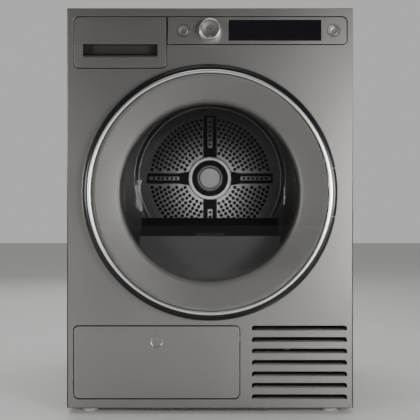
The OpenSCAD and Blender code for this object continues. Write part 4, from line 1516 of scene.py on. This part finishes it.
class DRYER_OT_drum(bpy.types.Operator):
    """Builds the drum wall, its perforated end, the hub and the lifters"""
    bl_idname = "dryer.drum"
    bl_label = "Drum"

    def execute(self, context):
        self.wall()
        self.end_wall()
        self.spokes()
        self.hub()
        self.lifters()
        return {"FINISHED"}

    def wall(self):
        d, r, sheet = DRUM_D, DRUM_R, 1.5
        bead = 1.1
        outside = [(262, d[1], 0.6), (r, d[1], 2.5)]
        inside = []
        beads = [d[1] - 30 - 52 * i for i in range(8)]
        for at in beads:
            outside += [
                (r, at + 6, 3), (r - bead, at + 2.5, 3), (r - bead, at - 2.5, 3), (r, at - 6, 3)
            ]
            inside += [(r - sheet, at + 6, 3), (r - sheet - bead, at + 2.5, 3),
                       (r - sheet - bead, at - 2.5, 3), (r - sheet, at - 6, 3)]
        outside.append((r, d[0]))
        inside.append((r - sheet, d[0]))
        profile = rounded(
            outside + inside[::-1] + [(r - sheet, d[1] - 2, 1.5), (262, d[1] - 2, 0.6)], 3
        )
        # Painted shade: the wall takes the darkened copy of the drum steel.
        settle(
            revolve("drum_wall", profile, DRUM_AT, 224, 40),
            "wall_steel", "drum", "drum_steel", ["drum_shell"],
        )

    def holes(self):
        """Centres of the holes: rings about the axis, every second ring shifted by half."""
        s = shapes()
        row = s.hole_pitch * math.sqrt(3) / 2
        points, ring = [], 0
        reach = 72.0
        while reach <= s.hole_reach:
            for quarter in range(4):
                margin = math.degrees(math.asin((SPOKE_HALF + s.hole_radius + 2.2) / reach))
                sweep = 90 - 2 * margin
                count = max(1, round(math.radians(sweep) * reach / s.hole_pitch))
                shift = 0.5 if ring % 2 else 0.0
                for k in range(count + 1 - (ring % 2)):
                    a = math.radians(quarter * 90 + margin + sweep * (k + shift) / count)
                    points.append((reach * math.cos(a), reach * math.sin(a), 0.0))
            reach += row
            ring += 1
        return points

    def perforate(self, name, points, inner, outer, hole_r):
        mesh = bpy.data.meshes.new(name)
        mesh.from_pydata([(x * MM, z * MM, 0) for x, z, _ in points], [], [])
        host = bpy.data.objects.new(name, mesh)
        bpy.context.scene.collection.objects.link(host)
        return run_tree(host, perforated_tree(), {
            "Hole Radius": hole_r * MM, "Inner Radius": inner * MM, "Outer Radius": outer * MM,
            "Finish": MATERIALS["drum_steel"],
        })

    def end_wall(self):
        inner, outer = 57.0, 192.0
        sheet = self.perforate("drum_end", self.holes(), inner, outer, shapes().hole_radius)
        bm = bmesh.new()
        bm.from_mesh(sheet.data)
        bpy.data.objects.remove(sheet)
        bmesh.ops.remove_doubles(bm, verts=bm.verts, dist=0.00001)
        for vert in bm.verts:
            vert.co = on_front(DRUM_AT[0] + vert.co.x / MM, DRUM_AT[1] + vert.co.y / MM, BACK_D)
        made = bmesh.ops.extrude_face_region(bm, geom=list(bm.faces))
        moved = [each for each in made["geom"] if isinstance(each, bmesh.types.BMVert)]
        bmesh.ops.translate(bm, verts=moved, vec=(0, 1.5 * MM, 0))
        bmesh.ops.recalc_face_normals(bm, faces=bm.faces)
        build(bm, "drum_end", "drum_steel", "drum", "drum_steel", ["drum_back"], smooth_angle=30)
        edge = DRUM_R - 1.5
        b = BACK_D
        # Painted shade: a black disc just behind the perforated end, so that the holes read dark.
        disc = [(58, b - 4), (189, b - 4), (189, b - 5), (58, b - 5)]
        settle(
            revolve("drum_baffle", disc, DRUM_AT, 96),
            "satin_black", "drum", "drum_steel", ["drum_back"],
        )
        rim = rounded([
            (191.6, b + 0.2, 0.2), (193.5, b + 0.4, 2), (203.6, b + 11, 3), (edge - 0.1, b + 11),
            (edge - 0.1, b + 9.5), (204.4, b + 9.5, 2), (194.2, b - 1.4, 2), (191.6, b - 1.4),
        ], 4)
        settle(
            revolve("drum_end_rim", rim, DRUM_AT, 224, 40),
            "drum_steel", "drum", "drum_steel", ["drum_back"],
        )

    def spokes(self):
        """Four channels, each with a raised strip that has a row of holes; the channel floors and
        the bottoms of the strip's holes are painted black as shade.
        """
        floor, strip = bmesh.new(), bmesh.new()
        hole_r = shapes().hole_radius * 0.8
        for turn in (0, 90, 180, 270):
            upright = turn in (90, 270)
            half = SPOKE_HALF if upright else SPOKE_HALF - 4.5
            root = SPOKE_HALF if upright else SPOKE_HALF + 1
            channel = [(58, -root), (82, -half), (172, -half), (172, half), (82, half), (58, root)]
            outline = turn_about_drum(rounded([(*p, 2.5) for p in channel], 4), turn)
            rings = [
                [on_front(x, z, BACK_D + d) for x, z in inset(outline, a)]
                for a, d in ((-1.4, 0.05), (-0.6, 1.0), (0.4, 1.2), (1.2, 0.6), (1.6, 0.15))
            ]
            skin(strip, rings)
            fill(floor, [inset(outline, 1.2)], BACK_D + 0.35)
            wide = STRIP_HALF if upright else STRIP_HALF - 1.5
            bar = [(82, -wide), (166, -wide), (166, wide), (82, wide)]
            ridge = turn_about_drum(rounded([(*p, 2) for p in bar], 4), turn)
            spots = [
                turn_about_drum(circle(at, 0, hole_r, 14), turn)
                for at in range(92, 162, 12)
            ]
            walls = [
                [on_front(x, z, BACK_D + d) for x, z in inset(ridge, a)]
                for a, d in ((0, 0.3), (0.3, 2.2), (1.2, 3.0), (2.0, 3.2))
            ]
            skin(strip, walls)
            fill(strip, [inset(ridge, 2.0)] + spots, BACK_D + 3.2)
            for spot in spots:
                skin(strip, [[on_front(x, z, BACK_D + d) for x, z in spot] for d in (3.2, 0.6)])
                fill(floor, [spot], BACK_D + 0.6)
        tidy(strip)
        bmesh.ops.recalc_face_normals(floor, faces=floor.faces)
        build(
            strip, "drum_spoke_strips", "drum_steel", "drum", "drum_steel", ["drum_back"],
            smooth_angle=40, flat_faces=True,
        )
        # The channel floors are painted black as shade.
        build(floor, "drum_spoke_channels", "satin_black", "drum", "drum_steel", ["drum_back"])

    def hub(self):
        b = BACK_D
        d = span("drum_hub")[1]
        shaft = rounded([
            (0, d[0]), (10, d[0], 0.8), (10, b - 12), (24, b - 8, 2), (24, b), (56, b),
            (56, b + 2), (30, b + 2), (0, b + 2),
        ], 3)
        # Painted shade: the shaft's flange is black where it shows at the foot of the well between
        # the cap and the hub ring.
        settle(
            revolve("drum_shaft", shaft, DRUM_AT, 96),
            "satin_black", "drum", "drum_steel", ["drum_hub"],
        )
        ring = rounded([
            (47, b + 2, 0.5), (59, b + 0.1), (59, b + 16, 1.2), (57.6, b + 18, 1.2),
            (48.4, b + 18, 1.2),
            (47, b + 15, 1.2),
        ], 5)
        settle(
            revolve("hub_ring", ring, DRUM_AT, 160, 50),
            "drum_steel", "drum", "drum_steel", ["drum_hub"],
        )
        cap = rounded([
            (0, d[1] - 2.4), (27, d[1], 1.5), (29, d[1] - 3, 1.2), (32, d[1] - 3, 1.2),
            (33.5, d[1] - 0.6, 1.5), (36.6, d[1] - 1.2, 1.5), (38, b + 8, 2), (38, b + 2),
            (0, b + 2),
        ], 5)
        settle(
            revolve("hub_cap", cap, DRUM_AT, 128, 50),
            "hub_steel", "drum", "drum_steel", ["drum_hub"],
        )

    def lifters(self):
        d = span("drum_lifters")[1]
        section = [
            (279.3, -34), (280.4, -18), (280.4, 18), (279.3, 34), (270, 26, 10), (252, 12, 10),
            (243.2, 8, 6), (243.2, -8, 6), (252, -12, 10), (270, -26, 10),
        ]
        loop = rounded(section, 4)
        bm = bmesh.new()
        for turn in (90, 210, 330):
            rings = []
            for at, size in ((d[0], 0.90), (d[0] + 3, 0.97), (d[0] + 12, 1.0), (d[1] - 40, 1.0),
                             (d[1] - 12, 0.96), (d[1] - 3, 0.9), (d[1], 0.78)):
                shape = [
                    (280.4 - (280.4 - r) * size if r < 280 else r, side * size) for r, side in loop
                ]
                rings.append([on_front(px, pz, at) for px, pz in turn_about_drum(shape, turn)])
            rows = skin(bm, rings)
            bm.faces.new(rows[0])
            bm.faces.new(rows[-1])
        tidy(bm)
        build(bm, "drum_paddles", "pale", "drum", "pale_plastic", ["drum_lifters"], smooth_angle=40)


# Lint filter ----------------------------------------------------------------------------

def chord_plate(half, low, high, centre, reach):
    """Outline of a plate with a straight top whose other edge follows a circle."""
    across = min(half, math.sqrt(max(0.0, reach ** 2 - (high - centre[1]) ** 2)))
    bottom = []
    steps = 26
    for i in range(steps + 1):
        x = across - 2 * across * i / steps
        fall = centre[1] - math.sqrt(max(0.0, reach ** 2 - (x - centre[0]) ** 2))
        bottom.append((x, max(low, fall)))
    return [(-across, high), (across, high)] + bottom


class DRYER_OT_filter(bpy.types.Operator):
    """Builds the filter seat below the window and the filter that lifts out of it"""
    bl_idname = "dryer.filter"
    bl_label = "Lint filter"

    def execute(self, context):
        x, d, z = span("filter_housing")
        cassette_x, cassette_d, cassette_z = span("filter_cassette")
        half, top = x[1], cassette_z[0] + 58
        reach = 199.5
        bm = bmesh.new()
        face = chord_plate(half, z[0], top, DOOR_AT, reach - 0.3)
        section = [(1.4, 0), (0.5, -0.4), (0.1, -1.2), (0, -3)]
        self.slab(bm, face, section, d[1])
        rear = chord_plate(half, z[0], top - 3, DOOR_AT, reach - 0.6)
        self.slab(bm, rear, [(0.6, 0), (0, -0.6), (0, -3)], d[1] - 24)
        for sign in (-1, 1):
            side = tuple(sorted((sign * half, sign * (half - 3))))
            soft_box(bm, side, (d[1] - 26, d[1] - 1), (334, top - 1), 0.8, 2)
        tidy(bm)
        # Painted light: the seat's face takes the brightened copy of its dark plastic.
        build(
            bm, "filter_seat", "seat_plastic", "root", "dark_plastic", ["filter_housing"],
            smooth_angle=34, flat_faces=True,
        )
        bm = bmesh.new()
        self.roof(bm, half, top, d)
        tidy(bm)
        # Painted shade: the roof is the seat's own plastic, drawn black as shade.
        build(
            bm, "filter_seat_roof", "black", "root", "dark_plastic", ["filter_housing"],
            smooth_angle=34, flat_faces=True,
        )
        self.cassette(cassette_x, cassette_d, cassette_z)
        return {"FINISHED"}

    def slab(self, bm, outline, section, d):
        rings = [[on_front(x, z, d + dd) for x, z in inset(outline, a)] for a, dd in section]
        skin(bm, rings)
        fill(bm, [inset(outline, section[0][0])], d + section[0][1])
        fill(bm, [inset(outline, section[-1][0])], d + section[-1][1])

    def roof(self, bm, half, top, d):
        """The sloping roof from behind the filter up towards the drum."""
        section = [(d[1] - 24.5, top - 4), (d[1] - 27, top - 1.5), (d[1] - 64.5, top + 38),
                   (d[1] - 67.8, top + 38.6), (d[1] - 67.8, top - 70), (d[1] - 65, top - 70),
                   (d[1] - 65, top + 33), (d[1] - 27.5, top - 5.5)]
        loop = rounded([(*p, 1.0) for p in section], 3)
        rows = []
        steps = 18
        for i in range(steps + 1):
            x = -half + 2 * half * i / steps
            rows.append([on_front(x, z, dd) for dd, z in loop])
        made = skin(bm, rows)
        bm.faces.new(made[0])
        bm.faces.new(made[-1])

    def cassette(self, x, d, z):
        top = z[1] - 10
        bm = bmesh.new()
        shell = frame_outline(x, (z[0], top), (4, 4, 9, 9))
        window = frame_outline((x[0] + 6, x[1] - 6), (z[0] + 6, top - 12), (4, 4, 6, 6))
        grip = frame_outline((-24, 24), (top - 8.4, top - 2.4), (3, 3, 3, 3))
        section = [(1.2, 0), (0.4, -0.4), (0, -1.2), (0, d[0] - d[1] + 1), (0.8, d[0] - d[1])]
        pan(bm, shell, [window, grip], section, d[1], 0.7)
        soft_box(bm, (-32, 32), (d[0] + 2, d[1] - 2), (top - 1, z[1]), 2.2, 3)
        for i in range(1, 6):
            at = x[0] + 6 + i * (x[1] - x[0] - 12) / 6
            soft_box(
                bm, (at - 1.3, at + 1.3), (d[0] + 5.2, d[1] - 1.5), (z[0] + 4, top - 10), 0.5, 1
            )
        tidy(bm)
        # Painted shade: the filter's pale plastic is drawn dark, for the shade it sits in below the
        # window.
        build(
            bm, "lint_filter", "dark", "filter", "pale_plastic", ["filter_cassette"],
            flat_faces=True,
        )
        bm = bmesh.new()
        soft_box(bm, (x[0] + 4, x[1] - 4), (d[0] + 4.8, d[0] + 5.4), (z[0] + 4, top - 10), 0.2, 1)
        build(bm, "lint_screen", "lint_screen", "filter", "pale_plastic", ["filter_cassette"])


# Base -----------------------------------------------------------------------------------


class DRYER_OT_feet(bpy.types.Operator):
    """Builds the four screwed feet"""
    bl_idname = "dryer.feet"
    bl_label = "Feet"

    def execute(self, context):
        for name in ("foot_front_left", "foot_front_right", "foot_rear_left", "foot_rear_right"):
            self.foot(name)
        return {"FINISHED"}

    def foot(self, name):
        x, d, z = span(name)
        centre = Vector((middle(x), FRONT_Y - middle(d)))
        r = (x[1] - x[0]) / 2
        thread = [(4.9 if i % 2 else 4.1, 12 + i * 0.75) for i in range(39)]
        profile = rounded([
            (0, 0), (r - 1, 0, 0.4), (r, 1.5, 0.8), (r, 6.2, 0.8), (r - 1.2, 7, 0.6), (13, 7, 0.6),
            (13, 10, 0.6), (5, 10),
        ], 3) + thread + [(4.6, 41.2), (3.8, 42), (0, 42)]
        bm = bmesh.new()
        rows = []
        steps = 48
        for i in range(steps):
            a = math.tau * i / steps
            knurl = 0.35 if i % 4 == 0 else 0.0
            rows.append([
                Vector((
                    (centre.x + (q - (knurl if q > 14 else 0)) * math.cos(a)) * MM,
                    (centre.y + (q - (knurl if q > 14 else 0)) * math.sin(a)) * MM, up * MM,
                ))
                for q, up in profile
            ])
        skin(bm, rows, closed_ring=False, closed_loft=True)
        tidy(bm)
        piece = to_object(bm, name.replace("foot", "levelling_foot"), 40)
        body = name.replace("foot", "leg")
        settle(piece, "pale", body, "pale_plastic", [name])


class DRYER_OT_inner(bpy.types.Operator):
    """Gives the parts inside the casing their finishes"""
    bl_idname = "dryer.inner"
    bl_label = "Inner parts"

    finish_of = {
        "dark": ("base_tray", "tank_cradle", "fan_housing", "exchanger_cover", "idler_pulley"),
        "black": ("shaft_bearing", "door_lock", "fan_impeller"),
        "zinc": ("front_bulkhead", "rear_bulkhead"),
        "bracket": ("hinge_bracket", "idler_arm", "motor_body", "motor_shaft"),
        "rubber": ("drum_belt", "roller_left", "roller_right"),
        "felt": ("drum_felt",),
        "board": ("control_board",),
        "fins": ("evaporator", "condenser"),
        "pump": ("compressor",),
        "lever": ("cover_lever_left", "cover_lever_right"),
        "tank": ("water_tank",),
    }

    def execute(self, context):
        for finish, nodes in self.finish_of.items():
            for node in nodes:
                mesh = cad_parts[node].data
                if not mesh.materials:
                    mesh.materials.append(None)
                for i in range(len(mesh.materials)):
                    mesh.materials[i] = MATERIALS[finish]
        return {"FINISHED"}


# Studio ---------------------------------------------------------------------------------

FLOOR_HALF = 9.0
DRUM_LAMP_SPREAD = 72
# Each lamp: name, power setting, size, place and aim. Places count from the front panel.
LAMPS = (
    ("key", "key", (1.0, 0.6), (1.45, -1.9, 0.56), (0.0, 0.0, 0.45)),
    ("fill", "fill", (0.7, 0.5), (-1.75, -1.7, 0.58), (-0.1, 0.0, 0.45)),
    ("top", "top", (2.0, 1.4), (0.1, 0.2, 2.5), (0.0, -FRONT_Y * MM, 0.6)),
    ("drum", "drum", (0.16, 0.16), (0.0, 0.26, 0.49), (0.0, 0.6, 0.505)),
    ("rear", "top", (2.0, 1.4), (-0.8, 2.4 - FRONT_Y * MM, 1.9), (0.0, 0.2 - FRONT_Y * MM, 0.5)),
)


class DRYER_OT_studio(bpy.types.Operator):
    """Sets the floor, the lights, the surround and the camera"""
    bl_idname = "dryer.studio"
    bl_label = "Studio"

    def execute(self, context):
        studio = context.scene.dryer_studio
        self.floor()
        self.lights(studio)
        self.surround(studio)
        self.camera(studio)
        return {"FINISHED"}

    def floor(self):
        half = FLOOR_HALF
        mesh = bpy.data.meshes.new("floor")
        corners = [(-half, -half, 0), (half, -half, 0), (half, half, 0), (-half, half, 0)]
        mesh.from_pydata([Vector(c) for c in corners], [], [(0, 1, 2, 3)])
        floor = bpy.data.objects.new("floor", mesh)
        bpy.context.scene.collection.objects.link(floor)
        floor.data.materials.append(grained(
            "studio_floor", (0.74, 0.735, 0.725), 0.0, 0.6, 120, vary=0.012, bump=0.05, bump_mm=0.1
        ))

    def lights(self, studio):
        front = Vector((0, FRONT_Y * MM, 0))
        for name, power, size, at, aim in LAMPS:
            lamp = bpy.data.lights.new(name, "AREA")
            lamp.shape = "RECTANGLE"
            lamp.size, lamp.size_y = size
            lamp.energy = getattr(studio, power)
            if name == "drum":
                lamp.spread = math.radians(DRUM_LAMP_SPREAD)
            holder = bpy.data.objects.new(name, lamp)
            holder.location = front + Vector(at)
            holder.rotation_euler = (Vector(aim) - Vector(at)).to_track_quat("-Z", "Y").to_euler()
            bpy.context.scene.collection.objects.link(holder)

    def surround(self, studio):
        world = bpy.data.worlds.new("surround")
        world.use_nodes = True
        tree = world.node_tree
        sky = tree.nodes["Background"]
        sky.inputs["Color"].default_value = (0.97, 0.965, 0.955, 1)
        place = tree.nodes.new("ShaderNodeTexCoord")
        axes = tree.nodes.new("ShaderNodeSeparateXYZ")
        blend = tree.nodes.new("ShaderNodeMapRange")
        blend.interpolation_type = "SMOOTHSTEP"
        for label, value in (("From Min", -0.5), ("From Max", 0.45), ("To Min", studio.room),
                             ("To Max", studio.backdrop)):
            blend.inputs[label].default_value = value
        tree.links.new(place.outputs["Generated"], axes.inputs["Vector"])
        tree.links.new(axes.outputs["Y"], blend.inputs["Value"])
        tree.links.new(blend.outputs["Result"], sky.inputs["Strength"])
        bpy.context.scene.world = world

    def camera(self, studio):
        lens = bpy.data.cameras.new("view")
        lens.sensor_width = 36
        lens.lens = lens.sensor_width * studio.distance / studio.width
        lens.clip_end = 60
        view = bpy.data.objects.new("view", lens)
        view.location = (0, FRONT_Y * MM - studio.distance, studio.height)
        view.rotation_euler = (math.radians(90), 0, 0)
        bpy.context.scene.collection.objects.link(view)
        bpy.context.scene.camera = view


# Panel and run --------------------------------------------------------------------------

BUILDERS = (
    DRYER_OT_front, DRYER_OT_casing, DRYER_OT_fascia, DRYER_OT_drawer, DRYER_OT_flap,
    DRYER_OT_door, DRYER_OT_seal, DRYER_OT_drum, DRYER_OT_filter, DRYER_OT_feet,
    DRYER_OT_inner, DRYER_OT_studio,
)
SETTINGS = (DryerFinishes, DryerShapes, DryerStudio)


class DRYER_PT_panel(bpy.types.Panel):
    """Lists the dryer's pieces and their settings"""
    bl_idname = "DRYER_PT_panel"
    bl_label = "Tumble dryer"
    bl_space_type = "VIEW_3D"
    bl_region_type = "UI"
    bl_category = "Dryer"

    def draw(self, context):
        column = self.layout.column()
        for builder in BUILDERS:
            column.operator(builder.bl_idname)
        scene = context.scene
        for group in (scene.dryer_finishes, scene.dryer_shapes, scene.dryer_studio):
            for name in group.__annotations__:
                column.prop(group, name)


def register():
    for each in SETTINGS + BUILDERS + (DRYER_PT_panel,):
        bpy.utils.register_class(each)
    bpy.types.Scene.dryer_finishes = PointerProperty(type=DryerFinishes)
    bpy.types.Scene.dryer_shapes = PointerProperty(type=DryerShapes)
    bpy.types.Scene.dryer_studio = PointerProperty(type=DryerStudio)


def unregister():
    del bpy.types.Scene.dryer_finishes
    del bpy.types.Scene.dryer_shapes
    del bpy.types.Scene.dryer_studio
    for each in reversed(SETTINGS + BUILDERS + (DRYER_PT_panel,)):
        bpy.utils.unregister_class(each)


def main():
    register()
    make_materials()
    for builder in BUILDERS:
        group, name = builder.bl_idname.split(".")
        getattr(getattr(bpy.ops, group), name)()


if __name__ == "__main__":
    main()
